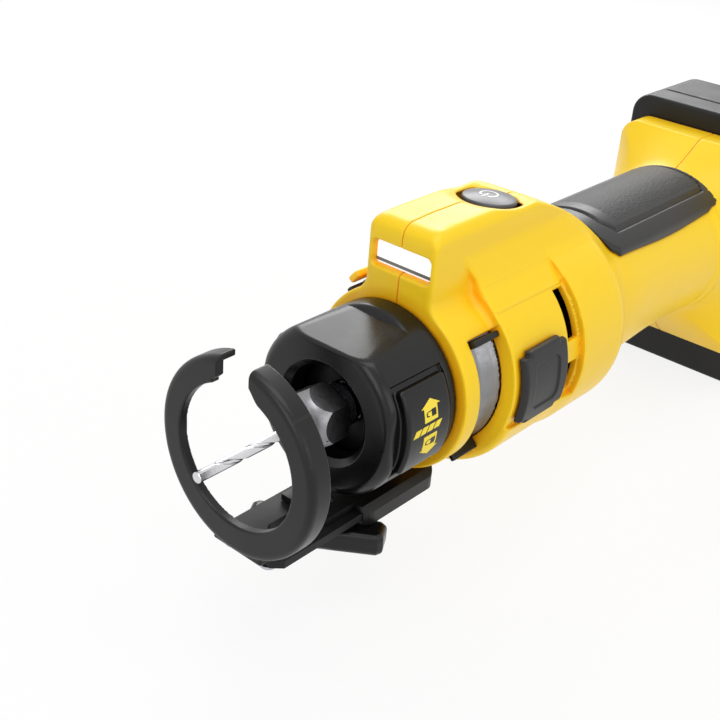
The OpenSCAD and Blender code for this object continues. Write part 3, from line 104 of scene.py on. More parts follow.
# %% Node and colour helpers
def linear(hex_colour):
    """A linear RGBA colour from an sRGB hex value such as "FFC61E"."""
    shares = [int(hex_colour[i:i + 2], 16) / 255 for i in (0, 2, 4)]
    return [s / 12.92 if s <= 0.04045 else ((s + 0.055) / 1.055) ** 2.4 for s in shares] + [1.0]


def add(tree, kind, inputs=None, **settings):
    """Adds a node; inputs maps a socket's name or number to a value or to another node's output."""
    node = tree.nodes.new(kind)
    for name, value in settings.items():
        setattr(node, name, value)
    for key, value in (inputs or {}).items():
        socket = node.inputs[key]
        if isinstance(value, bpy.types.NodeSocket):
            tree.links.new(value, socket)
        else:
            socket.default_value = value
    return node


def new_finish(name):
    """An empty material with its tree, its output and an object-space position in metres."""
    material = bpy.data.materials.new(name)
    material.use_nodes = True
    tree = material.node_tree
    tree.nodes.clear()
    place = add(tree, "ShaderNodeTexCoord").outputs["Object"]
    return material, tree, place


def close_finish(tree, shader):
    """Links a shader to the material's output."""
    add(tree, "ShaderNodeOutputMaterial", {"Surface": shader.outputs[0]})


print("yellow", [round(c, 3) for c in linear("FFC61E")])

# %% [markdown]
# ## Moulded plastic
#
# Nearly all of the tool is injection-moulded. The steel mould is spark-eroded, which leaves a fine
# grain of pits some tenths of a millimetre wide, so the plastic shines softly and its highlights have
# a soft rim. One recipe makes every moulded finish: a grain for the bump, slow cloudiness in the gloss
# from handling, a little rubbed brightness on outer edges and a colour in the corners, which is dust
# on most finishes and painted shade on the yellow. Only the colour, the gloss and the grain change.
# ABS and nylon have an IOR of about 1.53, but the pits of the grain swallow a third of the mirror
# light, so the specular level is lowered. Strong yellow turns warmer where its own light bounces
# about; that warmth is painted shade, so a recess can be given a darker, warmer colour.

# %% Moulded finishes
# Share of the corner colour: dust on most finishes, painted shade on the yellow
CORNER_DUST_AND_SHADE = 0.35


def moulded(name, colour, worn, corner_dust_and_shade, roughness, grain_mm, grain_depth_mm, edge_wear=0.35,
            recess=None):
    """A moulded plastic with grain, rubbed edges, dust in corners (painted shade on the yellow) and
    painted shade in recesses.
    """
    material, tree, place = new_finish(name)
    grain = add(tree, "ShaderNodeTexNoise", {"Vector": place, "Scale": 1 / (grain_mm * MM),
                                             "Detail": 2.0})
    cloud = add(tree, "ShaderNodeTexNoise", {"Vector": place, "Scale": 1 / (22 * MM), "Detail": 3.0})
    scuffs = add(tree, "ShaderNodeTexNoise", {"Vector": place, "Scale": 1 / (2.6 * MM), "Detail": 4.0,
                                              "Roughness": 0.65})
    curve = add(tree, "ShaderNodeNewGeometry").outputs["Pointiness"]
    edge = add(tree, "ShaderNodeMapRange", {"Value": curve, "From Min": 0.53, "From Max": 0.60})
    edge_patches = add(tree, "ShaderNodeMath", {0: edge.outputs[0], 1: scuffs.outputs["Fac"]},
                       operation="MULTIPLY")
    edge_share = add(tree, "ShaderNodeMath", {0: edge_patches.outputs[0], 1: edge_wear},
                     operation="MULTIPLY")
    # Concave corners get the corner colour: dust, and on the yellow painted shade
    corner = add(tree, "ShaderNodeMapRange", {"Value": curve, "From Min": 0.47, "From Max": 0.40})
    corner_share = add(tree, "ShaderNodeMath", {0: corner.outputs[0], 1: CORNER_DUST_AND_SHADE},
                       operation="MULTIPLY")
    rubbed = add(tree, "ShaderNodeMix", {0: edge_share.outputs[0], 6: linear(colour), 7: linear(worn)},
                 data_type="RGBA")
    dusted_and_shaded = add(tree, "ShaderNodeMix", {0: corner_share.outputs[0], 6: rubbed.outputs[2],
                                          7: linear(corner_dust_and_shade)}, data_type="RGBA")
    # Painted shade: where ambient occlusion finds a recess, a darker, warmer colour is mixed in for
    # light bounced between yellow walls
    if recess:
        sky = add(tree, "ShaderNodeAmbientOcclusion", {"Distance": 14 * MM}, samples=8)
        shut = add(tree, "ShaderNodeMapRange", {"Value": sky.outputs["AO"], "From Min": 0.85,
                                                "From Max": 0.3, "To Max": 0.8})
        dusted_and_shaded = add(tree, "ShaderNodeMix", {0: shut.outputs[0], 6: dusted_and_shaded.outputs[2],
                                              7: linear(recess)}, data_type="RGBA")
    gloss = add(tree, "ShaderNodeMapRange", {"Value": cloud.outputs["Fac"], "From Min": 0.3,
                                             "From Max": 0.7, "To Min": roughness - 0.05,
                                             "To Max": roughness + 0.06})
    bump = add(tree, "ShaderNodeBump", {"Height": grain.outputs["Fac"], "Strength": 0.5,
                                        "Distance": grain_depth_mm * MM})
    shader = add(tree, "ShaderNodeBsdfPrincipled", {
        "Base Color": dusted_and_shaded.outputs[2], "IOR": 1.53, "Specular IOR Level": 0.32,
        "Roughness": gloss.outputs[0], "Normal": bump.outputs[0]})
    close_finish(tree, shader)
    return material


# Injection-moulded ABS: even, warm yellow with a satin shine; its orange corner and recess colours are
# painted shade
abs_yellow = moulded("abs_moulded_yellow", "FFD51C", "FFE27A", "D08C10", 0.34, 0.55, 0.015,
                     recess="FF9A0C")
# Glass-filled nylon: near black, a dull grain with grey rubbed edges
nylon_black = moulded("nylon_moulded_black", "0E0E0E", "3A3A3A", "1E1D1B", 0.36, 0.6, 0.02, 0.3)
# Nylon from a polished mould: deeper black, sharper highlights
nylon_gloss = moulded("nylon_polished_black", "0B0B0B", "303030", "1A1918", 0.22, 0.8, 0.006, 0.2)
# Nylon of the collar: a finer grain, so its flat shines
nylon_satin = moulded("nylon_moulded_satin", "0A0A0A", "303030", "161514", 0.27, 0.6, 0.012, 0.2)
# ABS in dark grey for the snap-on covers: matt grain
abs_grey = moulded("abs_moulded_grey", "262626", "565656", "262523", 0.42, 0.6, 0.02)
# Smooth acetal of the button: a fine satin
acetal_grey = moulded("acetal_moulded_grey", "4C4C50", "6C6C72", "3C3C40", 0.3, 0.4, 0.01)
# The pack's cases: black ABS with a coarser grain
abs_black = moulded("abs_moulded_black", "111111", "383838", "201F1D", 0.42, 0.8, 0.03, 0.35)
print("moulded finishes", len(bpy.data.materials))

# %% [markdown]
# ## Shapes from distance fields
#
# A moulded housing is all soft edges and fillets: a tower grows out of a barrel, slots cut through
# both, and every edge is rounded. Modelling that face by face is slow, and booleans leave hard edges.
# A distance field is simpler: a function that tells how far any point is from the surface, negative
# inside. Two shapes are joined with a minimum and cut with a maximum, and a softened minimum gives a
# fillet for free. All the shapes are written in millimetres.


# %% Distance helpers
def outline_distance(outline, u, v):
    """Distance of the points (u, v) from a closed outline, negative inside."""
    starts = np.asarray(outline, float)
    nearest = np.full(u.shape, np.inf)
    inside = np.zeros(u.shape, bool)
    for (au, av), (bu, bv) in zip(starts, np.roll(starts, -1, axis=0)):
        run, rise = bu - au, bv - av
        du, dv = u - au, v - av
        share = np.clip((du * run + dv * rise) / (run * run + rise * rise), 0, 1)
        np.minimum(nearest, (du - share * run) ** 2 + (dv - share * rise) ** 2, out=nearest)
        if rise:
            inside ^= ((av > v) != (bv > v)) & (du < run * dv / rise)
    return np.where(inside, -1, 1) * np.sqrt(nearest)


def join(a, b, soft=0.0):
    """Both shapes together, with a fillet of about the size of soft."""
    near = np.maximum(soft - np.abs(a - b), 0)
    return np.minimum(a, b) - near * near / (4 * np.maximum(soft, 1e-9))


def keep(a, b, soft=0.0):
    """What the two shapes share, with a rounded edge."""
    return -join(-a, -b, soft)


def cut(a, b, soft=0.0):
    """The first shape without the second, with a rounded edge."""
    return keep(a, -b, soft)


def between(value, low, high):
    """Distance from a slab: negative between low and high."""
    return np.maximum(low - value, value - high)


def rounded_box(x, y, z, low, high, edge=0.0):
    """Distance from a block with rounded edges."""
    middle = (np.asarray(low, float) + high) / 2
    half = (np.asarray(high, float) - low) / 2 - edge
    out = [np.abs(c - m) - h for c, m, h in zip((x, y, z), middle, half)]
    outside = np.sqrt(sum(np.maximum(o, 0) ** 2 for o in out))
    return outside + np.minimum(np.maximum(np.maximum(out[0], out[1]), out[2]), 0) - edge


def rounded_rectangle(u, v, half_u, half_v, corner):
    """Distance from a rectangle with round corners, in a plane."""
    du, dv = np.abs(u) - half_u + corner, np.abs(v) - half_v + corner
    outside = np.hypot(np.maximum(du, 0), np.maximum(dv, 0))
    return outside + np.minimum(np.maximum(du, dv), 0) - corner


def arc_points(u, v, radius, start, end, steps=8):
    """Points along an arc, angles in degrees."""
    return [(u + radius * math.cos(math.radians(start + (end - start) * i / steps)),
             v + radius * math.sin(math.radians(start + (end - start) * i / steps)))
            for i in range(steps + 1)]


print("a point 3 mm inside a 10 mm square:", outline_distance([(0, 0), (10, 0), (10, 10), (0, 10)],
                                                              np.array([3.0]), np.array([5.0])))

# %% [markdown]
# ## From field to mesh
#
# The field is measured on a grid, and each grid cell that the surface crosses gets one vertex. Four
# neighbouring cells around a crossed grid edge make one quad. This is called surface nets: it gives an
# even skin of quads, watertight, with no slivers. Two refinements make it good enough to look at: each
# vertex slides along the field's slope until it lies exactly on the surface, and the slope itself is
# kept as the shading normal, so a flat face shades flat and a fillet shades round. To save time the
# field is first measured on a coarse grid, and only blocks near the surface are measured finely.

# %% Surface nets
BLOCK = 4
BATCH = 30000


def field_values(field, points):
    """The field at many points, in batches that fit the processor's cache."""
    return np.concatenate([field(*points[:, i:i + BATCH]) for i in range(0, points.shape[1], BATCH)])


def slope(field, points, reach):
    """The field's direction of steepest growth at each point."""
    parts = []
    for axis in range(3):
        step = np.zeros((3, 1))
        step[axis] = reach
        parts.append(field_values(field, points + step) - field_values(field, points - step))
    steep = np.array(parts) / (2 * reach)
    return steep, np.maximum(np.linalg.norm(steep, axis=0), 1e-9)


def measure(field, low, high, step):
    """The field on a grid of cell centres; far from the surface only its sign is right."""
    low = np.asarray(low, float)
    blocks = np.ceil((np.asarray(high, float) - low) / (step * BLOCK)).astype(int)
    middles = np.indices(blocks).reshape(3, -1).T
    coarse = field_values(field, (low + (middles + 0.5) * step * BLOCK).T)
    grid = coarse.reshape(blocks)
    for axis in range(3):
        grid = np.repeat(grid, BLOCK, axis=axis)
    busy = middles[np.abs(coarse) < step * BLOCK * 1.3]
    inner = np.indices((BLOCK,) * 3).reshape(3, -1).T
    cells = (busy[:, None, :] * BLOCK + inner[None]).reshape(-1, 3)
    grid[tuple(cells.T)] = field_values(field, (low + (cells + 0.5) * step).T)
    return grid


def skin(field, low, high, step):
    """Vertices (mm), quads and normals of a field's surface."""
    grid = measure(field, low, high, step)
    solid = grid < 0
    corners = [solid[i:solid.shape[0] - 1 + i, j:solid.shape[1] - 1 + j, k:solid.shape[2] - 1 + k]
               for i in (0, 1) for j in (0, 1) for k in (0, 1)]
    count = sum(c.astype(np.int8) for c in corners)
    crossed = np.argwhere((count > 0) & (count < 8))
    number = np.full(count.shape, -1, np.int64)
    number[tuple(crossed.T)] = np.arange(len(crossed))
    total = np.zeros((len(crossed), 3))
    hits = np.zeros(len(crossed))
    for axis in range(3):
        others = [a for a in range(3) if a != axis]
        for first in (0, 1):
            for second in (0, 1):
                a = crossed.copy()
                a[:, others[0]] += first
                a[:, others[1]] += second
                b = a.copy()
                b[:, axis] += 1
                va, vb = grid[tuple(a.T)], grid[tuple(b.T)]
                hit = (va < 0) != (vb < 0)
                share = np.where(hit, va / np.where(hit, va - vb, 1), 0)
                total[hit] += a[hit] + share[hit, None] * (b - a)[hit]
                hits += hit
    points = (np.asarray(low, float) + (total / hits[:, None] + 0.5) * step).T
    start = points.copy()
    for _ in range(3):
        steep, size = slope(field, points, step * 0.1)
        move = -field_values(field, points) * steep / size ** 2
        points = start + np.clip(points + move - start, -0.7 * step, 0.7 * step)
    steep, size = slope(field, points, step * 0.25)
    quads = []
    for axis in range(3):
        u, v = [(1, 2), (2, 0), (0, 1)][axis]
        ahead = np.take(solid, range(1, solid.shape[axis]), axis=axis)
        here = np.take(solid, range(solid.shape[axis] - 1), axis=axis)
        for filled, turn in ((here & ~ahead, 1), (~here & ahead, -1)):
            at = np.argwhere(filled)
            at = at[(at[:, u] > 0) & (at[:, v] > 0)]
            ring = []
            for du, dv in ((-1, -1), (0, -1), (0, 0), (-1, 0))[::turn]:
                near = at.copy()
                near[:, u] += du
                near[:, v] += dv
                ring.append(number[tuple(near.T)])
            quads.append(np.array(ring).T)
    return points.T, np.concatenate(quads), (steep / size).T


def piece_from_field(name, field, low, high, step):
    """A mesh object in metres from a field in millimetres."""
    points, quads, normals = skin(field, low, high, step)
    mesh = bpy.data.meshes.new(name)
    mesh.from_pydata((points * MM).tolist(), [], quads.tolist())
    mesh.polygons.foreach_set("use_smooth", np.ones(len(quads), bool))
    mesh.normals_split_custom_set_from_vertices(normals.tolist())
    piece = bpy.data.objects.new(name, mesh)
    scene.collection.objects.link(piece)
    print(name, len(quads), "quads")
    return piece


def dress(piece, finish, body, slot, *nodes):
    """Gives a piece its finish and its body, and hides the CAD nodes that it stands for; slot is not
    used.
    """
    piece.data.materials.append(finish)
    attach(piece, body)
    if nodes:
        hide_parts(*nodes)
    return piece


# %% [markdown]
# ## The housing
#
# Two yellow halves meet on the middle plane. Their outside is a turned barrel, which swells behind the
# covers and runs down in an S-curve to the handle, a light tower on top, and a square foot that takes
# the battery pack. It could be lofted from sections, but the tower and the barrel meet in a fillet that
# changes along the tool, and a soft minimum of fields gives that with no seam. The stations along the
# tool repeat the CAD model's, in mm.

# %% Outside of the housing
X_COLLAR, X_RING, X_SLOT, X_BARREL, X_VENT = -34.5, -64.3, -71.2, -83.2, -119.2
X_SHOULDER, X_HANDLE, X_FLARE, X_FOOT_WALL, X_FOOT = -140.2, -157.2, -235.2, -249.2, -260.5
RING_R, BARREL_R, SWELL_R, HANDLE_R, PANEL_R = 29.2, 34.4, 35.2, 27.8, 32.9
TOWER_TOP, TOWER_HALF, TOWER_BASE_HALF = 50.9, 12.6, 16.5
WALL = 2.6
# FAR closes an outline well inside the tool, and X_AHEAD lies in front of the housing
FAR, X_AHEAD = -60, -60

shoulder_points = [(HANDLE_R + (SWELL_R - HANDLE_R) * (1 + math.cos(math.pi * i / 12)) / 2,
                    X_SHOULDER - (X_SHOULDER - X_HANDLE) * i / 12) for i in range(12)]
waist_points = [(HANDLE_R - 1.2 * math.sin(math.pi * i / 12) ** 2,
                 X_HANDLE + (X_FLARE - X_HANDLE) * i / 12) for i in range(13)]
RING_OUTLINE = [(FAR, X_RING), (28.2, X_RING), (28.8, -64.5), (29.1, -64.9), (RING_R, -65.5),
                (RING_R, -95), (FAR, -95)]
BARREL_OUTLINE = [(FAR, X_BARREL), (32.6, X_BARREL), (33.6, -83.6), (34.2, -84.4), (BARREL_R, -85.4),
                  (BARREL_R, -112.2), (34.6, -113.6), (35.0, -116.4), (SWELL_R, -118.2),
                  *shoulder_points, *waist_points, (HANDLE_R, X_FOOT_WALL), (FAR, X_FOOT_WALL)]
TOWER_SIDE = [(-64.0, 6), *arc_points(-70.0, 44.9, 6, 0, 90), (-107.6, TOWER_TOP), (-109.0, 50.76),
              (-195.4, 18), (-195.4, 6)]
TOWER_EDGE = 4.5
TOWER_SLIM = [(FAR, 0), (TOWER_HALF, 0),
              *arc_points(TOWER_HALF - TOWER_EDGE, TOWER_TOP - TOWER_EDGE, TOWER_EDGE, 0, 90),
              (FAR, TOWER_TOP)]
TOWER_WIDE = [(FAR, 0), (TOWER_BASE_HALF, 0), (TOWER_BASE_HALF, 30.8), (TOWER_HALF, 39.9), (FAR, 39.9)]


def ease(t):
    """A smooth step from 0 to 1."""
    t = np.clip(t, 0, 1)
    return t * t * (3 - 2 * t)


def level_angle(y, z):
    """Degrees above level, seen along the tool, the same on both sides."""
    return np.degrees(np.arctan2(z, np.abs(y)))


def ring_part(x, y, z, low, high, back, front, inner, outer, edge=0.0):
    """A piece of a ring about the spindle axis, between two angles above level."""
    radius = np.hypot(y, z)
    turn = (np.abs(level_angle(y, z) - (low + high) / 2) - (high - low) / 2) * radius * math.pi / 180
    return keep(keep(turn, between(x, back, front), edge), between(radius, inner, outer), edge)


def barrel_distance(x, y, z):
    """The turned barrel and handle; each side has a flat shoulder and a sunk panel under a thin rim."""
    barrel = outline_distance(BARREL_OUTLINE, np.hypot(y, z), x)
    shoulder_flat = 0.695 * (np.abs(y) - 22.3) + 0.718 * (z - 24.6)
    barrel = cut(barrel, np.maximum(-shoulder_flat, between(x, -118.5, X_AHEAD)), 0.8)
    barrel = cut(barrel, ring_part(x, y, z, -20, 47.7, -118.6, X_AHEAD, PANEL_R, 40), 0.6)
    rim = ring_part(x, y, z, 46.9, 48.4, -117.6, X_BARREL - 1.2, 31, PANEL_R + 0.55, 0.4)
    return join(outline_distance(RING_OUTLINE, np.hypot(y, z), x), join(barrel, rim, 0.4), 2.2)


def tower_distance(x, y, z):
    """The light tower: slim over the slots, wide over the barrel, a cone down to the handle."""
    slim = outline_distance(TOWER_SLIM, np.abs(y), z)
    wide = keep(outline_distance(TOWER_WIDE, np.abs(y), z), (x + 83.3 - 0.644 * (z - 30.9)) / 1.19, 2.0)
    front_edge = 1.2 + 1.2 * ease((x + 78) / 8)
    tower = keep(outline_distance(TOWER_SIDE, x, z), join(slim, wide, 0.8), front_edge)
    round_end = 0.829 * (np.hypot(y, z) - 38.47 - 0.6745 * (x + 141.2))
    return keep(tower, round_end, 4.0)


def foot_distance(x, y, z):
    """The rear foot, which grows from the round handle to a square plate."""
    share = np.clip((-229.7 - x) / 19, 0, 1)
    plate = rounded_rectangle(y, z + 4, 34, 42, 7)
    form = (1 - share) * (np.hypot(y, z) - HANDLE_R) + share * plate
    return keep(form, between(x, X_FOOT, -228), 1.4)


def housing_outside(x, y, z):
    """Barrel, tower, foot and the pad for the guide bracket in one soft form."""
    fillet = 2.0 + 1.5 * ease((x + 86) / 6)
    upper = keep(join(barrel_distance(x, y, z), tower_distance(x, y, z), fillet), x - X_RING, 1.0)
    bracket_pad = rounded_box(x, y, z, (-78.3, -8, -29.6), (-65.3, 8, -25.2), 0.4)
    return join(join(upper, foot_distance(x, y, z), 4.0), bracket_pad, 0.8)


probe = [np.array([v], float) for v in (-100, 0, BARREL_R + 20)]
print("20 mm above the barrel the housing is", np.round(housing_outside(*probe), 1), "mm away")

# %% [markdown]
# ## Openings and halves
#
# The same outside, moved in by the wall, is the hollow, less the posts for the screws. Then come the
# openings, each with the rounding of its edge, and last the middle plane parts the halves. Cutting with
# fields rather than booleans keeps every edge round. The far half alone has a small ledge beside its
# slot, and the heads of the screws.

# %% Openings and halves
SCREWS = [(-76.7, 32.6, 12.6), (-136.2, 34.2, 12.6), (-100.0, -29.0, 18.5), (-139.2, -27.0, 22.6),
          (-163.2, -20.57, 18.7), (-230.2, 13.9, 24.07), (-230.2, -13.9, 24.07)]
BUTTON_AT, BUTTON_TILT = (-106.3, 48.7), math.radians(4)
HALF_SEAM = 0.06


def in_button(x, z, tilt=BUTTON_TILT):
    """Coordinates along and out of the button's tilted face."""
    dx, dz = x - BUTTON_AT[0], z - BUTTON_AT[1]
    return dx * math.cos(tilt) + dz * math.sin(tilt), dz * math.cos(tilt) - dx * math.sin(tilt)


def housing_half(right):
    """The field of one half, as a function of x, y and z."""
    def field(x, y, z):
        radius = np.hypot(y, z)
        outside = housing_outside(x, y, z)
        hollow = keep(keep(outside + WALL, x + 66.8), -(x + 246.7))
        hollow = keep(hollow, join(radius - 24, -(x + 236)))
        post_r = 4.4 if right else 3.5
        for sx, sz, reach in SCREWS:
            post = np.maximum(np.hypot(x - sx, z - sz) - post_r, np.abs(y) - reach + 1)
            hollow = cut(hollow, post)
        body = cut(outside, hollow)
        lip = 0.75 * np.clip((x + 66.1) / 2.0, 0, 1)
        window = rounded_rectangle(y, z - 38.6, 10.4 + lip, 3.75 + lip, 1.3 + lip)
        along, out = in_button(x, z)
        openings = [
            # bore of the nose, and the exhaust slot beside the fan
            (np.maximum(radius - 21.3, -(x + 69)), 0.6),
            (ring_part(x, y, z, -48, 41, -83.4, X_SLOT, 26, 40), 0.7),
            # two rear vents, the intake window under the cover, room for the exhaust guard
            (ring_part(x, y, z, 15, 45, -118.2, -112.8, 29, 38), 0.8),
            (ring_part(x, y, z, -18, 2, -118.2, -112.8, 29, 38), 0.8),
            (ring_part(x, y, z, -12, 18, -103.5, -90, 29, 38), 0.4),
            (np.maximum(radius - 27.6, between(x, -86, -66.9)), 0.2),
            # light window, with a lip that widens to the front
            (np.maximum(window, -(x + 71.9)), 0.4),
            # the button's well, and the scoop around it
            (np.maximum(np.hypot(along, y) - 9.0, between(out, -14, 16)), 0.4),
            (np.sqrt(along ** 2 + y ** 2 + (out - 34) ** 2) - 36.06, 1.2),
            # the pack's rail pocket, its mouth, and the window of the terminal block
            (rounded_box(x, y, z, (-257.1, -25.3, -90), (-249.19, 25.3, 30)), 0.3),
            (rounded_box(x, y, z, (-264, -22.3, -90), (-249.19, 22.3, 30)), 0.6),
            (rounded_box(x, y, z, (-250, -12.3, 17.7), (-243.7, 12.3, 23.3)), 0.3),
        ]
        for opening, edge in openings:
            body = cut(body, opening, edge)
        if right:
            body = join(body, ring_part(x, y, z, 36.7, 45, -85.2, -74.5, 32.2, 34.6, 0.8), 0.4)
            for sx, sz, reach in SCREWS:
                round_hole = np.hypot(x - sx, z - sz)
                body = cut(body, np.maximum(round_hole - 3.1, y + reach - 3.4), 0.6)
                body = cut(body, np.maximum(round_hole - 1.65, y), 0.2)
        return keep(body, HALF_SEAM + (y if right else -y), 0.5)
    return field


HOUSING_STEP = 0.5
for name, right, low, high in (("left", False, (-262, -1, -48), (-62, 37, 53)),
                               ("right", True, (-262, -37, -48), (-62, 1, 53))):
    shell = piece_from_field(f"housing_shell_{name}", housing_half(right), low, high, HOUSING_STEP)
    dress(shell, abs_yellow, "tool", "yellow_plastic", f"housing_{name}")

# %% [markdown]
# ## The soft grip
#
# A pad of soft rubber is moulded over the top of the handle. Its outside is a part of a cylinder, cut to
# the pad's plan, and its inside is the housing's own distance, so that it sits on the handle without a
# gap. A smooth border runs round a raised, grained middle, with a groove between them.

# %% Grip
GRIP_R = 30.1
GRIP_PLAN = [(-154.5, 14.4), (-156.8, 17.8), (-160.3, 20.2), (-232.2, 20.2),
             (-232.2, -20.2), (-160.3, -20.2), (-156.8, -17.8), (-154.5, -14.4)]
GRIP_MIDDLE = [(-162.5, -9), (-162.5, 9), (-165.5, 13.7), (-227, 13.7),
               (-229, 11), (-229, -11), (-227, -13.7), (-165.5, -13.7)]


def grip_field(x, y, z):
    middle = outline_distance(GRIP_MIDDLE, x, y)
    step = 0.25 * ease(-middle / 0.8) - 0.8 * np.exp(-((middle - 0.6) / 0.5) ** 2)
    band = keep(0.06 - housing_outside(x, y, z), np.hypot(y, z) - GRIP_R + 0.2 - step, 0.2)
    return keep(keep(band, outline_distance(GRIP_PLAN, x, y), 1.2), 12.2 - z)


grip = piece_from_field("grip_pad", grip_field, (-234, -22, 11), (-152, 22, 34), 0.5)

# %% [markdown]
# ## The lock collar
#
# A turned ring with a rounded front edge sits on the nose. A flat on top rises to the rear and ends in
# a short ramp. Each side has a shallow dish with a raised thumb pad in it. A revolved outline gives the
# ring, and the flat, the dishes and the pads are cut and joined in the same field, so that all of their
# edges come out round.

# %% Collar
COLLAR_OUTLINE = [(16.5, X_COLLAR), *arc_points(22.6, -38.1, 3.6, 90, 0), (26.2, -63.2), (25.8, -63.6),
                  (21.1, -63.6), (21.1, -42.1), (14.5, -42.1), (14.5, -36.5)]
PAD_R = 27.7
SNAP_FRONT, SNAP_BACK = -46.6, -48.9


def collar_field(x, y, z):
    radius = np.hypot(y, z)
    ring = outline_distance(COLLAR_OUTLINE, radius, x)
    flat = 0.994 * (21.7 + 0.114 * (X_COLLAR - x) - z)
    ramp = -0.857 * (x + 55.3) - 0.515 * (z - 24.1)
    ring = cut(ring, np.maximum(flat, ramp), 1.2)
    ring = cut(ring, np.maximum(24.6 - np.abs(y), -56.5 - x), 1.0)
    ring = cut(ring, ring_part(x, y, z, -28, 37, -60.4, -38.4, 25.0, 40), 1.0)
    pads = ring_part(x, y, z, -25, 33, -59, -40, 22.5, PAD_R, 1.2)
    groove = np.maximum(between(radius, 18, 21.8), between(x, SNAP_BACK, SNAP_FRONT))
    return cut(join(ring, pads, 0.6), groove)


collar = piece_from_field("lock_collar_ring", collar_field, (-64.5, -29, -29), (-33.5, 29, 29),
                          0.3)

# %% [markdown]
# ## The marks on the thumb pad
#
# Arrows and padlocks are printed on the pad: up to open, down to lock, with a hatched bar between. A
# texture could hold them, but a thin print as a piece of its own stays sharp at any distance. Each mark
# is a flat outline, wound on the pad's curve and kept within a thin shell.

# %% Pad marks
PRINT_HALF_T = 0.12
PAD_MM_PER_DEGREE = PAD_R * math.pi / 180


def pad_mark(x, y, z, outlines, holes):
    """A thin print on the left thumb pad; outlines are in mm along the tool and degrees above level."""
    around = level_angle(y, z) * PAD_R * math.pi / 180

    def distance(outline):
        return outline_distance([(u, a * PAD_MM_PER_DEGREE) for u, a in outline], x, around)

    flat = np.full(x.shape, 1e3)
    for outline in outlines:
        flat = np.minimum(flat, distance(outline))
    for outline in holes:
        flat = np.maximum(flat, -distance(outline))
    return np.maximum(flat, np.abs(np.hypot(y, z) - PAD_R) - PRINT_HALF_T)


UP_ARROW = [(-50.2, 22), (-54.2, 17.2), (-52.8, 17.2), (-52.8, 8.2),
            (-47, 8.2), (-47, 17.2), (-45.9, 17.2)]
DOWN_ARROW = [(-50.2, -15.4), (-54, -10.6), (-52.7, -10.6), (-52.7, -0.9),
              (-46.9, -0.9), (-46.9, -10.6), (-45.9, -10.6)]
LOCK_BODY = [(-50.1, -2.3), (-50.1, 2.3), (-52.2, 2.3), (-52.2, -2.3)]
BOW_OUT = [(-50.2, 1.9), (-48.6, 1.9), (-47.8, 1.1), (-47.8, -1.1), (-48.6, -1.9)]
BOW_IN = [(-48.8, -1.2), (-48.4, -0.7), (-48.4, 0.7), (-48.8, 1.2), (-50.2, 1.2)]
OPEN_BOW = [*BOW_OUT, (-49.3, -1.9), (-49.3, -1.2), *BOW_IN]
SHUT_BOW = [*BOW_OUT, (-50.2, -1.9), (-50.2, -1.2), *BOW_IN]
UP_LOCK = [[(u, a + 12.9) for u, a in outline] for outline in (LOCK_BODY, OPEN_BOW)]
DOWN_LOCK = [[(u, a - 5.9) for u, a in outline] for outline in (LOCK_BODY, SHUT_BOW)]
HATCH = [[(u, 1.9), (u - 1.4, 6.1), (u - 3.8, 6.1), (u - 2.4, 1.9)]
         for u in np.arange(-41.9, -51.5, -3.0)]


def pad_print(x, y, z):
    up = pad_mark(x, y, z, [UP_ARROW], UP_LOCK)
    down = pad_mark(x, y, z, [DOWN_ARROW], DOWN_LOCK)
    return np.minimum(np.minimum(up, down), pad_mark(x, y, z, HATCH, []))


pad_arrows = piece_from_field("pad_arrows", pad_print, (-58, 25, -8), (-41, 28.4, 11.5), 0.1)

# %% [markdown]
# ## The exhaust guard
#
# Air leaves through the slots beside the fan. A die-cast funnel inside turns it outwards, and a black
# bar closes each end of a slot. The funnel could be a lathed curve, and is one here, as a field. The
# bars are flat plates that point at the axis, so each is a box in coordinates turned by its angle.

# %% Guard
FUNNEL_OUTLINE = [(24.2, -70.9), (24.6, -74.8), (25.1, -77), (25.9, -79), (26.7, -81.3),
                  (27.55, -83.25), (26.15, -83.25), (23.2, -74.8), (22.8, -70.9)]
BAR_ANGLES = (38, -45)


def funnel_field(x, y, z):
    return outline_distance(FUNNEL_OUTLINE, np.hypot(y, z), x)


def bars_field(x, y, z):
    bars = np.full(x.shape, 1e3)
    for angle in BAR_ANGLES:
        c, s = math.cos(math.radians(angle)), math.sin(math.radians(angle))
        out, over = np.abs(y) * c + z * s, z * c - np.abs(y) * s
        bars = np.minimum(bars, rounded_box(x, out, over, (-83.0, 24.4, -1), (-71.4, 31.2, 1), 0.4))
    return bars


funnel = piece_from_field("exhaust_funnel", funnel_field, (-84.2, -28.6, -28.6), (-70, 28.6, 28.6),
                          0.5)
bars = piece_from_field("exhaust_bars", bars_field, (-84, -27, -26), (-70.4, 27, 22), 0.4)

# %% [markdown]
# ## The depth guide's foot
#
# The foot is a ring of L-section with a round outer edge: the tool slides along the wall board on it. A
# gap at the top lets the user watch the bit, and its two ends are cut to different slopes. The ring
# grows a little wider towards the bottom, where a wedge-shaped post carries the steel arm.

# %% Foot
FOOT_R, FOOT_IN_R, FOOT_GROWS = 29.0, 21.4, 1.5
FOOT_PLATE, FOOT_RIM, FOOT_DEPTH = 2.8, 2.0, 7.0
FOOT_GAP = [(-8.6, 0), (-8.6, 20.6), (-7.0, 22.2), (-7.0, 60),
            (4.6, 60), (4.6, 23.8), (8.0, 19.6), (8.0, 0)]
RIVET_X, RIVET_Y, RIVET_HOLE_R = -7.9, 7, 1.62


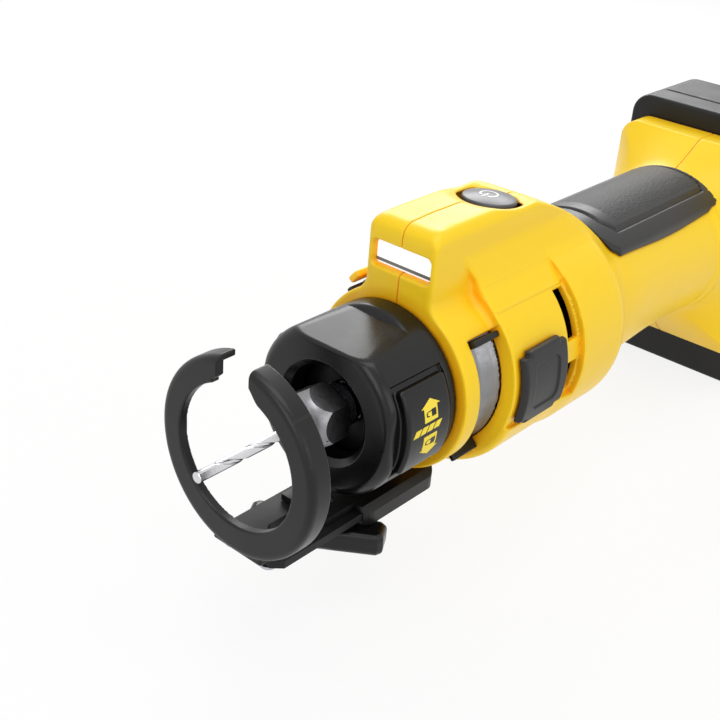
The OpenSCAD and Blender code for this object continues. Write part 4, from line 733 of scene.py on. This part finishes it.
def foot_field(x, y, z):
    radius = np.hypot(y, z)
    outer = radius - FOOT_R - FOOT_GROWS * np.clip(-z / FOOT_R, 0, 1) ** 2
    ring = keep(keep(outer, x, 2.4), -FOOT_DEPTH - x, 0.5)
    ring = cut(keep(ring, FOOT_IN_R - radius, 0.7), np.maximum(outer + FOOT_RIM, x + FOOT_PLATE))
    post = rounded_box(x, y, z, (-10, -9.5, -32), (-2, 9.5, -24), 0.8)
    post = keep(post, 0.8 * (z + 24 - 0.75 * (x + FOOT_PLATE)), 0.6)
    ring = join(ring, post, 0.8)
    ring = cut(ring, outline_distance(FOOT_GAP, y, z), 0.6)
    for side in (-1, 1):
        hole = np.hypot(x - RIVET_X, y - RIVET_Y * side) - RIVET_HOLE_R
        ring = cut(ring, np.maximum(hole, z + 29))
    return ring


foot = piece_from_field("guide_foot_ring", foot_field, (-11, -30, -33), (1, 30, 30), 0.35)

# %% [markdown]
# ## The clamp knob
#
# The guide is held by a winged knob: a short hub with two blunt wings that the fingers turn. Every
# edge is generously round, because it is turned by hand. The wings lie at an angle to the tool, so
# the field first turns the point into the knob's own directions.

# %% Knob
WING = [(21, -3), (21, 3), (19.4, 4.6), (0, 6.5), (-19.4, 4.6),
        (-21, 3), (-21, -3), (-19.4, -4.6), (0, -6.5), (19.4, -4.6)]
WING_TURN = math.radians(120)
KNOB_X = -35.5


def knob_field(x, y, z):
    dx = x - KNOB_X
    u = dx * math.cos(WING_TURN) + y * math.sin(WING_TURN)
    v = y * math.cos(WING_TURN) - dx * math.sin(WING_TURN)
    wings = keep(outline_distance(WING, u, v), between(z, -44.6, -36.6), 2.6)
    hub = keep(np.hypot(dx, y) - 8, between(z, -42.6, -34.9), 1.2)
    dimple = np.hypot(np.abs(u) - 13, v * 1.8)
    body = join(wings, hub, 1.6)
    body = cut(body, np.maximum(dimple - 4.5, z + 44.0), 0.6)
    return cut(body, np.hypot(dx, y) - 2.52)


knob = piece_from_field("clamp_knob_wings", knob_field, (-57, -22, -46), (-14, 22, -34), 0.4)

# %% [markdown]
# ## The cutting bit
#
# The bit is a smooth pilot that follows the edge of a box in the wall, and behind it two spiral
# flutes that cut. Turning the point with its position along the bit turns a straight groove into a
# spiral one, so the field needs only a cylinder and two round grooves.

# %% Bit
BIT_R, BIT_TIP, BIT_END, PILOT = 1.5875, 13.0, -48.0, 6.0
FLUTE_LEAD, FLUTE_AT, FLUTE_R, FLUTE_END = 24.0, 1.8, 0.85, -24


def bit_field(x, y, z):
    turn = 2 * math.pi * x / FLUTE_LEAD
    u = y * np.cos(turn) + z * np.sin(turn)
    v = z * np.cos(turn) - y * np.sin(turn)
    shank = keep(np.hypot(y, z) - BIT_R + 0.01, between(x, BIT_END, BIT_TIP), 0.35)
    fluted = between(x, FLUTE_END, BIT_TIP - PILOT)
    for side in (-1, 1):
        shank = cut(shank, keep(np.hypot(u - side * FLUTE_AT, v) - FLUTE_R, fluted, 1.5), 0.12)
    return shank


bit = piece_from_field("spiral_bit", bit_field, (-49, -2.2, -2.2), (14, 2.2, 2.2), 0.14)

# %% [markdown]
# ## Intake covers
#
# A grey cover snaps on over the air intake on each side. It stands three millimetres proud, with
# slanted edges and notched corners, and two lugs behind it reach through the window in the housing.
# One function makes both: measured in angles above level, the right cover is the left one mirrored.

# %% Covers
COVER_FRONT, COVER_BACK, COVER_LOW, COVER_HIGH = -85.0, -108.5, -18, 24
COVER_INNER, COVER_R = 33.4, 35.95


def cover_field(side):
    """The field of one cover; side is 1 on the left and -1 on the right."""
    def field(x, y, z):
        radius = np.hypot(y, z)
        angle = level_angle(y, z)
        proud = radius - COVER_INNER
        middle, half = (COVER_LOW + COVER_HIGH) / 2, (COVER_HIGH - COVER_LOW) / 2
        across = (np.abs(angle - middle) - half) * 34.5 * math.pi / 180
        along = between(x, COVER_BACK, COVER_FRONT)
        notch = np.maximum(-3.2 - along, -1.5 - across)
        plan = cut(np.maximum(across, along), notch, 0.5)
        body = keep(plan + 0.3 * proud, between(radius, COVER_INNER, COVER_R), 0.9)
        recess = rounded_rectangle(x + 96.7, (angle - middle) * 0.602, 6.4, 7.2, 2.0)
        body = cut(body, keep(recess, COVER_R - 0.5 - radius), 0.5)
        for low in (-9, 11):
            lug = ring_part(x, y, z, low, low + 4, -93.3, -90.3, 30.6, 34.5)
            body = join(body, lug)
        return keep(body, -side * y)
    return field


covers = {}
for side, name in ((1, "left"), (-1, "right")):
    low, high = sorted((side * 28, side * 37))
    covers[name] = piece_from_field(f"intake_cover_shell_{name}", cover_field(side), (-109.5, low, -12),
                                    (-84, high, 16), 0.35)

# %% [markdown]
# ## The power button
#
# A thumb finds the button by its dome, and the eye by the usual power symbol: a ring with a gap and a
# bar. The button is a slice of a big sphere on a short stem, hollow below for its spring. Stem and
# hollow follow the spring's steeper tilt, along which the button is pressed. The symbol is printed on
# the dome, so its field is a thin shell of that sphere.

# %% Button and its mark
BUTTON_R, BUTTON_T, DOME_R, DOME_CENTRE = 8.7, 3.2, 34.0, 0.8 - 34.0
PRESS_TILT = math.radians(12)


def button_field(x, y, z):
    along, out = in_button(x, z)
    away = np.hypot(along, y)
    dome = np.sqrt(along ** 2 + y ** 2 + (out - DOME_CENTRE) ** 2) - DOME_R
    cap = keep(keep(away - BUTTON_R, -BUTTON_T - out), dome, 0.7)
    along, out = in_button(x, z, PRESS_TILT)
    away = np.hypot(along, y)
    cap = cut(cap, np.maximum(away - 4.6, out + 0.8))
    return join(cap, np.maximum(away - 2, between(out, -BUTTON_T - 2.6, -0.6)))


button = piece_from_field("power_button_cap", button_field, (-117, -10, 40), (-96, 10, 51), 0.3)


def power_mark(x, y, z):
    along, out = in_button(x, z)
    dome = np.sqrt(along ** 2 + y ** 2 + (out - DOME_CENTRE) ** 2) - DOME_R
    shell = np.abs(dome) - PRINT_HALF_T
    u = along - 0.6
    ring = np.abs(np.hypot(u, y) - 2.7) - 0.36
    ring = cut(ring, np.maximum(np.abs(y) - 1.25, -u))
    bar = np.maximum(np.abs(y) - 0.36, between(u, 0.2, 3.3))
    return np.maximum(shell, join(ring, bar))


power_print = piece_from_field("power_mark", power_mark, (-112, -4, 46), (-100, 4, 51.5), 0.1)

# %% [markdown]
# ## The battery pack
#
# The pack is two black cases that meet at a seam. The front one carries the rail that slides into
# the tool's foot, with slots for the contacts; the rear one is a plain tub with finger grooves. Both
# are hollow, with their corners rounded like a soap bar. A box with a bevel would do for the outside,
# but the rail, the slots and the screw posts are simpler as a few more fields.

# %% Pack cases
PACK_Z, PACK_HALF_W, PACK_HALF_H, PACK_CORNER = -9.5, 37.5, 55.5, 8.0
X_PACK, X_SPLIT, X_PACK_END = -260.8, -274.8, -302.8
PACK_SCREWS = [(y, z) for y in (-32.1, 32.1) for z in (40.6, -59.6)]


def pack_plan(y, z, inset):
    """The pack's outline seen along the tool, moved in by inset."""
    return rounded_rectangle(y, z - PACK_Z, PACK_HALF_W - inset, PACK_HALF_H - inset,
                             PACK_CORNER - inset)


def pack_top_field(x, y, z):
    case = keep(pack_plan(y, z, 0), between(x, X_SPLIT, X_PACK), 1.6)
    rail_neck = rounded_box(x, y, z, (-262, -22, -44), (-255, 22, 16), 0.3)
    rail_head = rounded_box(x, y, z, (-256.8, -25, -44), (-249.8, 25, 16), 0.6)
    case = join(case, join(rail_neck, rail_head, 0.4), 0.8)
    hollow = keep(pack_plan(y, z, 2), between(x, X_SPLIT - 2, X_PACK - 2))
    for py, pz in PACK_SCREWS:
        hollow = cut(hollow, np.hypot(y - py, z - pz) - 2.9)
    for side in (-1, 1):
        seat_y = side * 19.95
        spring_seat = rounded_box(x, y, z, (-271.8, seat_y - 1, -44), (-260, seat_y + 1, -36))
        hollow = cut(hollow, spring_seat)
    case = cut(case, hollow)
    for pitch in (-9, 0, 9):
        slot = rounded_box(x, y, z, (-256.3, pitch - 1, 4), (-250.1, pitch + 1, 44))
        case = cut(case, slot, 0.3)
    for side in (-1, 1):
        wall_y = side * 38
        window = rounded_box(x, y, z, (-271.8, wall_y - 4, -48.3), (-263.8, wall_y + 4, -31.7), 0.5)
        case = cut(case, window, 0.4)
    for py, pz in PACK_SCREWS:
        case = cut(case, np.maximum(np.hypot(y - py, z - pz) - 1.3, between(x, -280, -264)))
    return case


def pack_base_field(x, y, z):
    case = keep(pack_plan(y, z, 0), between(x, X_PACK_END, X_SPLIT - 0.05), 2.2)
    grooves = np.abs((np.abs(z - PACK_Z) - 18) % 8 - 4) - 1.0
    grooves = np.maximum(np.maximum(grooves, PACK_HALF_W - 0.6 - np.abs(y)), between(x, -297, -280))
    case = cut(case, np.maximum(grooves, np.abs(z - PACK_Z) - 42), 0.5)
    hollow = keep(pack_plan(y, z, 2), between(x, X_PACK_END + 2, X_SPLIT + 2))
    for py, pz in PACK_SCREWS:
        hollow = cut(hollow, np.hypot(y - py, z - pz) - 2.9)
    case = cut(case, hollow)
    for py, pz in PACK_SCREWS:
        away = np.hypot(y - py, z - pz)
        case = cut(case, np.maximum(away - 2.1, x + 278.8), 0.3)
        case = cut(case, away - 1.45)
    return cut(case, rounded_box(x, y, z, (-287, -7.2, -67), (-280.6, 7.2, -62.4), 0.4), 0.4)


PACK_STEP = 0.8
pack_top = piece_from_field("pack_rail_case", pack_top_field, (-276, -39, -67), (-248, 39, 48),
                            PACK_STEP)
pack_base = piece_from_field("pack_tub_case", pack_base_field, (-304, -39, -67), (-274, 39, 48),
                             PACK_STEP)

# %% [markdown]
# ## Metal
#
# Machined metal shows the way it was cut: a turned shaft has fine rings around it, a casting has a
# sandy skin, a pack of stamped sheets shows its layers. One recipe makes them all. A noise that is
# stretched along two axes gives the marks, and a slow cloud in the roughness gives the patchy look
# of handled metal. Metal has no colour of its own but that of its reflections, so it is all metallic.


# %% Metal finishes
def metal(name, colour, shade, roughness, marks_mm, marks_depth_mm):
    """A bare metal; marks_mm gives the size of its tool marks along x, y and z."""
    material, tree, place = new_finish(name)
    stretch = add(tree, "ShaderNodeMapping", {"Vector": place,
                                              "Scale": [1 / (m * MM) for m in marks_mm]})
    marks = add(tree, "ShaderNodeTexNoise", {"Vector": stretch.outputs[0], "Scale": 1.0, "Detail": 3.0})
    cloud = add(tree, "ShaderNodeTexNoise", {"Vector": place, "Scale": 1 / (6 * MM), "Detail": 3.0})
    tone = add(tree, "ShaderNodeMix", {0: cloud.outputs["Fac"], 6: linear(colour), 7: linear(shade)},
               data_type="RGBA")
    gloss = add(tree, "ShaderNodeMapRange", {"Value": marks.outputs["Fac"], "From Min": 0.3,
                                             "From Max": 0.7, "To Min": roughness - 0.06,
                                             "To Max": roughness + 0.08})
    bump = add(tree, "ShaderNodeBump", {"Height": marks.outputs["Fac"], "Strength": 0.6,
                                        "Distance": marks_depth_mm * MM})
    shader = add(tree, "ShaderNodeBsdfPrincipled", {
        "Base Color": tone.outputs[2], "Metallic": 1.0, "Roughness": gloss.outputs[0],
        "Normal": bump.outputs[0]})
    close_finish(tree, shader)
    return material


# Turned and ground steel: bright, with fine rings around the axis
steel_turned = metal("steel_turned", "D6D6D8", "B4B4B8", 0.24, (0.12, 4, 4), 0.004)
# Ground tool steel of the bit: brighter still, sharp sparkle on the flutes
steel_ground = metal("tool_steel_ground", "E4E4E6", "C6C6CA", 0.18, (0.08, 0.8, 0.8), 0.003)
# Zinc-plated screws: a cloudy, slightly blue white
steel_zinc = metal("steel_zinc_plated", "C9CCD1", "A9ADB4", 0.32, (0.5, 0.5, 0.5), 0.006)
# Spring wire: drawn, darker than the screws
steel_wire = metal("spring_wire_drawn", "A6A6A8", "828286", 0.3, (0.6, 0.15, 0.6), 0.004)
# Zinc die casting of the exhaust funnel: grey, smoother than the aluminium
zinc_cast = metal("zinc_die_cast", "98989A", "787A7E", 0.34, (1.2, 1.2, 1.2), 0.01)
# Hard-anodised aluminium: a dark, even satin
aluminium_dark = metal("aluminium_hard_anodised", "2C2C2E", "1E1E20", 0.42, (0.3, 3, 3), 0.006)
# Oiled steel of the nut: darker and duller than ground steel
steel_oiled = metal("steel_machined_oiled", "9C9C9E", "78787C", 0.32, (0.2, 3, 3), 0.006)
# A stack of stamped sheets: fine layers along the axis, oiled dark
steel_laminated = metal("steel_laminated_oiled", "6C6C6E", "4A4A4C", 0.4, (0.25, 6, 6), 0.03)
# Nickel-plated magnets: mirror-like with a warm tinge
nickel_plated = metal("nickel_plated", "CFC9C0", "AFA9A0", 0.2, (0.9, 0.9, 0.9), 0.004)
# Enamelled copper wire: reddish, with ridges from the turns
copper_enamelled = metal("copper_wire_enamelled", "C8703C", "9A4A22", 0.28, (3, 0.5, 0.5), 0.12)
# Stamped brass contacts: yellow, rolled along their length
brass_stamped = metal("brass_stamped", "D2AE5E", "AC8840", 0.3, (1.2, 0.2, 1.2), 0.004)
print("finishes with the metals", len(bpy.data.materials))

# %% [markdown]
# ## Other finishes
#
# The rest use the moulded recipe with other colours and grains: powder coat on the arm is a coarse
# orange-peel skin, insulated leads and shrink wrap are smooth. Three finishes need a recipe of their
# own: the grip, which is grained only in its middle; the circuit boards, with their copper tracks
# under green lacquer; and the lamp's diffuser, which glows a little.

# %% Rubber, boards, lens and prints
# Powder coat on the steel arm: near black, pebbled
powder_black = moulded("powder_coat_black", "090909", "2C2C2C", "161513", 0.52, 0.9, 0.06, 0.35)
# Ivory nylon of the winding insulators
nylon_ivory = moulded("nylon_moulded_ivory", "DCD3B8", "E8E2CE", "B0A585", 0.42, 0.6, 0.02)
# PVC insulation of the leads: smooth red
pvc_red = moulded("pvc_red", "A81B16", "C2433E", "6E1512", 0.35, 1.5, 0.01)
# Heat-shrunk film on the cells: blue, glossy
film_blue = moulded("shrink_film_blue", "2F5C86", "5680A6", "27435E", 0.22, 4.0, 0.03)
# Screen-printed ink: flat and even
ink_yellow = moulded("ink_yellow", "FFE545", "FFEE8A", "D7B020", 0.5, 0.3, 0.005)
ink_white = moulded("ink_white", "F2F2F2", "FFFFFF", "CFCFCF", 0.5, 0.3, 0.005)
# Nylon of the intake filters: dull mid grey
nylon_grey = moulded("nylon_moulded_grey", "4A4A4A", "6E6E6E", "3C3A37", 0.5, 0.5, 0.03)


def soft_rubber(name):
    """Moulded rubber: a smooth border, and a grained middle where the palm rests."""
    material, tree, place = new_finish(name)
    axes = add(tree, "ShaderNodeSeparateXYZ", {"Vector": place})
    side = add(tree, "ShaderNodeMath", {0: axes.outputs["Y"]}, operation="ABSOLUTE")
    inward = add(tree, "ShaderNodeMapRange", {"Value": side.outputs[0], "From Min": 12.2 * MM,
                                              "From Max": 11.6 * MM})
    rearward = add(tree, "ShaderNodeMapRange", {"Value": axes.outputs["X"], "From Min": -168 * MM,
                                                "From Max": -169 * MM})
    middle = add(tree, "ShaderNodeMath", {0: inward.outputs[0], 1: rearward.outputs[0]},
                 operation="MULTIPLY")
    pebbles = add(tree, "ShaderNodeTexVoronoi", {"Vector": place, "Scale": 1 / (0.9 * MM)},
                  feature="SMOOTH_F1")
    fine = add(tree, "ShaderNodeTexNoise", {"Vector": place, "Scale": 1 / (0.4 * MM), "Detail": 2.0})
    grain = add(tree, "ShaderNodeMix", {0: middle.outputs[0], 2: fine.outputs["Fac"],
                                        3: pebbles.outputs["Distance"]})
    depth = add(tree, "ShaderNodeMapRange", {"Value": middle.outputs[0], "To Min": 0.01 * MM,
                                             "To Max": 0.18 * MM})
    gloss = add(tree, "ShaderNodeMapRange", {"Value": middle.outputs[0], "To Min": 0.38, "To Max": 0.55})
    bump = add(tree, "ShaderNodeBump", {"Height": grain.outputs[0], "Strength": 0.7,
                                        "Distance": depth.outputs[0]})
    shader = add(tree, "ShaderNodeBsdfPrincipled", {
        "Base Color": linear("101010"), "IOR": 1.5, "Roughness": gloss.outputs[0],
        "Normal": bump.outputs[0]})
    close_finish(tree, shader)
    return material


def circuit_board(name):
    """Glass-fibre board: green lacquer, with tracks that show through as a paler green."""
    material, tree, place = new_finish(name)
    tracks = add(tree, "ShaderNodeTexBrick", {
        "Vector": place, "Scale": 1 / (9 * MM), "Mortar Size": 0.03,
        "Color1": linear("1B5E34"), "Color2": linear("16522D"), "Mortar": linear("3B8A58")})
    grain = add(tree, "ShaderNodeTexNoise", {"Vector": place, "Scale": 1 / (0.5 * MM), "Detail": 2.0})
    gloss = add(tree, "ShaderNodeMapRange", {"Value": grain.outputs["Fac"], "To Min": 0.22,
                                             "To Max": 0.4})
    bump = add(tree, "ShaderNodeBump", {"Height": tracks.outputs["Fac"], "Strength": 0.4,
                                        "Distance": 0.04 * MM})
    shader = add(tree, "ShaderNodeBsdfPrincipled", {
        "Base Color": tracks.outputs["Color"], "IOR": 1.55, "Roughness": gloss.outputs[0],
        "Normal": bump.outputs[0]})
    close_finish(tree, shader)
    return material


def diffuser(name):
    """Milky polycarbonate before a lamp, with a grey line across its lower part that glows less."""
    material, tree, place = new_finish(name)
    height = add(tree, "ShaderNodeSeparateXYZ", {"Vector": place}).outputs["Z"]
    above = add(tree, "ShaderNodeMapRange", {"Value": height, "From Min": 35.5 * MM,
                                             "From Max": 35.8 * MM})
    below = add(tree, "ShaderNodeMapRange", {"Value": height, "From Min": 36.9 * MM,
                                             "From Max": 36.6 * MM})
    line = add(tree, "ShaderNodeMath", {0: above.outputs[0], 1: below.outputs[0]}, operation="MULTIPLY")
    tint = add(tree, "ShaderNodeMix", {0: line.outputs[0], 6: linear("F6F6F4"), 7: linear("6E6E6E")},
               data_type="RGBA")
    glow = add(tree, "ShaderNodeMapRange", {"Value": line.outputs[0], "To Min": 0.45, "To Max": 0.0})
    ripple = add(tree, "ShaderNodeTexNoise", {"Vector": place, "Scale": 1 / (1.5 * MM), "Detail": 1.0})
    bump = add(tree, "ShaderNodeBump", {"Height": ripple.outputs["Fac"], "Strength": 0.2,
                                        "Distance": 0.02 * MM})
    gloss = add(tree, "ShaderNodeMapRange", {"Value": ripple.outputs["Fac"], "To Min": 0.12,
                                             "To Max": 0.24})
    shader = add(tree, "ShaderNodeBsdfPrincipled", {
        "Base Color": tint.outputs[2], "IOR": 1.58, "Roughness": gloss.outputs[0],
        "Normal": bump.outputs[0], "Emission Color": linear("FFFFFF"),
        "Emission Strength": glow.outputs[0]})
    close_finish(tree, shader)
    return material


grip_rubber = soft_rubber("rubber_overmoulded_black")
board_green = circuit_board("circuit_board_green")
lens_milky = diffuser("polycarbonate_milky")
print("finishes in all", len(bpy.data.materials))

# %% [markdown]
# ## Pieces that stand for a solid
#
# The pieces made here take the place of their CAD solids. Each gets its finish, rides on the body that
# moves it and is listed with a material slot. The prints and the guard's bars stand for no solid of
# their own: they ride along.

# %% Pieces that stand for a solid
DRESSED = [
    (grip, grip_rubber, "tool", "grip_rubber", "handle_grip"),
    (collar, nylon_satin, "collar", "black_plastic", "lock_collar"),
    (pad_arrows, ink_yellow, "collar", "yellow_plastic"),
    (funnel, zinc_cast, "tool", "steel", "exhaust_guard"),
    (bars, nylon_black, "tool", "black_plastic"),
    (foot, nylon_black, "guide", "black_plastic", "guide_foot"),
    (knob, nylon_gloss, "clamp", "black_plastic", "clamp_knob"),
    (bit, steel_ground, "bit", "steel", "cutting_bit"),
    (covers["left"], abs_grey, "cover_left", "grey_plastic", "intake_cover_left"),
    (covers["right"], abs_grey, "cover_right", "grey_plastic", "intake_cover_right"),
    (button, acetal_grey, "button", "grey_plastic", "power_button"),
    (power_print, ink_white, "button", "lens_white"),
    (pack_top, abs_black, "pack", "black_plastic", "pack_top_case"),
    (pack_base, abs_black, "pack", "black_plastic", "pack_base_case"),
]
for row in DRESSED:
    dress(*row)
print("pieces dressed", len(DRESSED))

# %% [markdown]
# ## Solids that stay
#
# All the other solids keep their own mesh: they get a finish, and their edges get a small bevel,
# because no real edge is perfectly sharp. The bevel needs clean edges, so the triangles are first
# merged back into flat faces. Modifiers do both, so the CAD mesh itself stays as it is.

# %% Solids that stay
STAYING = [
    (steel_zinc, 0.15, "housing_screws bracket_screws pack_screws guide_rivets clamp_nut"),
    (steel_turned, 0.2, "spindle collet front_outer_race front_inner_race rear_outer_race "
                        "rear_inner_race clamp_screw"),
    (steel_ground, 0.0, "front_balls rear_balls"),
    (steel_wire, 0.1, "collar_ring button_spring release_springs"),
    (aluminium_dark, 0.3, "nose_tube"),
    (steel_oiled, 0.3, "collet_nut"),
    (steel_laminated, 0.1, "stator_core rotor_core"),
    (nickel_plated, 0.15, "rotor_magnets"),
    (copper_enamelled, 0.4, "stator_coils"),
    (nylon_ivory, 0.2, "stator_insulators"),
    (nylon_black, 0.4, "guide_bracket cell_carrier cooling_fan end_frame power_switch controller_tray "
                       "terminal_block"),
    (powder_black, 0.3, "guide_arm"),
    (board_green, 0.1, "sensor_board light_board controller_board pack_board"),
    (brass_stamped, 0.1, "terminal_blades pack_contacts"),
    (pvc_red, 0.0, "power_leads"),
    (lens_milky, 0.3, "light_lens light_reflector"),
    (acetal_grey, 0.4, "gauge_button"),
    (nylon_grey, 0.1, "filter_screen_left filter_screen_right"),
    (abs_yellow, 0.5, "release_left release_right"),
    (film_blue, 0.6, "pack_cells"),
]


def finish_solid(name, finish, edge_mm):
    """Gives a CAD solid its finish and small rounded edges, without touching its mesh."""
    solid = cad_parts[name]
    for holder in solid.material_slots:
        holder.material = finish
    if not solid.material_slots:
        solid.data.materials.append(finish)
    weld = solid.modifiers.new("merge_corners", "WELD")
    weld.merge_threshold = 0.001 * MM
    if edge_mm:
        flat = solid.modifiers.new("merge_flat_faces", "DECIMATE")
        flat.decimate_type = "DISSOLVE"
        flat.angle_limit = math.radians(0.5)
        bevel = solid.modifiers.new("soft_edges", "BEVEL")
        bevel.width = edge_mm * MM
        bevel.segments = 2
        bevel.limit_method = "ANGLE"
        bevel.angle_limit = math.radians(35)
        bevel.harden_normals = True


for finish, edge_mm, names in STAYING:
    for name in names.split():
        finish_solid(name, finish, edge_mm)
print("solids that stay", sum(len(names.split()) for _, _, names in STAYING))

# %% [markdown]
# ## Floor, background and light
#
# The tool is shown on plain white, lit from above with soft boxes, as in a catalogue. A white floor
# that is only lit would need so much light that the tool would wash out. So the floor adds its own
# white for what the camera and mirror-like surfaces see, and stays an ordinary pale floor for all
# other light: the tool keeps its soft shadow and its colours render about as they are written.


# %% Floor, world and lamps
def white_for_viewers(tree):
    """1 for camera, glossy and transmission rays, 0 for all others."""
    ray = add(tree, "ShaderNodeLightPath")
    first = add(tree, "ShaderNodeMath", {0: ray.outputs["Is Camera Ray"],
                                         1: ray.outputs["Is Glossy Ray"]}, operation="MAXIMUM")
    return add(tree, "ShaderNodeMath", {0: first.outputs[0], 1: ray.outputs["Is Transmission Ray"]},
               operation="MAXIMUM")


# Matt paper on the floor: a faint fibre, and a share of its own white
OWN_WHITE = 0.86
floor_paper = bpy.data.materials.new("matt_white_paper")
floor_paper.use_nodes = True
tree = floor_paper.node_tree
tree.nodes.clear()
fibres = add(tree, "ShaderNodeTexNoise", {"Scale": 1 / (3 * MM), "Detail": 3.0})
lit = add(tree, "ShaderNodeBump", {"Height": fibres.outputs["Fac"], "Strength": 0.1,
                                   "Distance": 0.05 * MM})
paper = add(tree, "ShaderNodeBsdfDiffuse", {"Color": linear("F4F4F4"), "Normal": lit.outputs[0]})
glow = add(tree, "ShaderNodeEmission", {"Color": linear("FFFFFF"), "Strength": 1.0})
share = add(tree, "ShaderNodeMath", {0: white_for_viewers(tree).outputs[0], 1: OWN_WHITE},
            operation="MULTIPLY")
mixed = add(tree, "ShaderNodeMixShader", {0: share.outputs[0], 1: paper.outputs[0], 2: glow.outputs[0]})
close_finish(tree, mixed)

FLOOR_HALF = 3.0
floor_z = cad_box[0][2] - 0.2 * MM
floor_mesh = bpy.data.meshes.new("floor")
floor_corners = [(x * FLOOR_HALF, y * FLOOR_HALF, floor_z)
                 for x, y in ((-1, -1), (1, -1), (1, 1), (-1, 1))]
floor_mesh.from_pydata(floor_corners, [], [(0, 1, 2, 3)])
floor = bpy.data.objects.new("floor", floor_mesh)
floor.data.materials.append(floor_paper)
scene.collection.objects.link(floor)
floor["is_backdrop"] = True

world = bpy.data.worlds.new("white_studio")
scene.world = world
world.use_nodes = True
tree = world.node_tree
tree.nodes.clear()
room = add(tree, "ShaderNodeMapRange", {"Value": white_for_viewers(tree).outputs[0], "To Min": 0.45,
                                        "To Max": 1.0})
sky = add(tree, "ShaderNodeBackground", {"Color": linear("FFFFFF"), "Strength": room.outputs[0]})
add(tree, "ShaderNodeOutputWorld", {"Surface": sky.outputs[0]})


def soft_box(name, place, target, width, height, watts):
    """A rectangular area lamp that looks at a point; places in metres."""
    lamp = bpy.data.lights.new(name, "AREA")
    lamp.shape = "RECTANGLE"
    lamp.size, lamp.size_y, lamp.energy = width, height, watts
    box = bpy.data.objects.new(name, lamp)
    box.location = place
    box.rotation_euler = (Vector(target) - Vector(place)).to_track_quat("-Z", "Y").to_euler()
    scene.collection.objects.link(box)


MIDDLE = (-0.1, 0, 0)
soft_box("top_soft_box", (-0.05, 0.15, 0.95), MIDDLE, 0.9, 0.6, 3.8)
soft_box("back_soft_box", (-0.75, -0.53, 0.5), MIDDLE, 0.62, 0.4, 4.5)
soft_box("front_soft_box", (0.85, 0.25, 0.45), MIDDLE, 0.6, 0.6, 2.2)
soft_box("left_soft_box", (0.0, 0.95, 0.35), MIDDLE, 0.7, 0.5, 1.4)
print("floor at", round(floor_z / MM, 1), "mm")

# %% [markdown]
# ## Measure and finish
#
# The dressed tool must keep the CAD model's size, so both boxes are printed.

# %% Sizes and finish
sizes = {"cad": [list(corner) for corner in cad_box],
         "visual": [list(corner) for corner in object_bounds()]}
print({key: [[round(v / MM, 1) for v in corner] for corner in box] for key, box in sizes.items()})
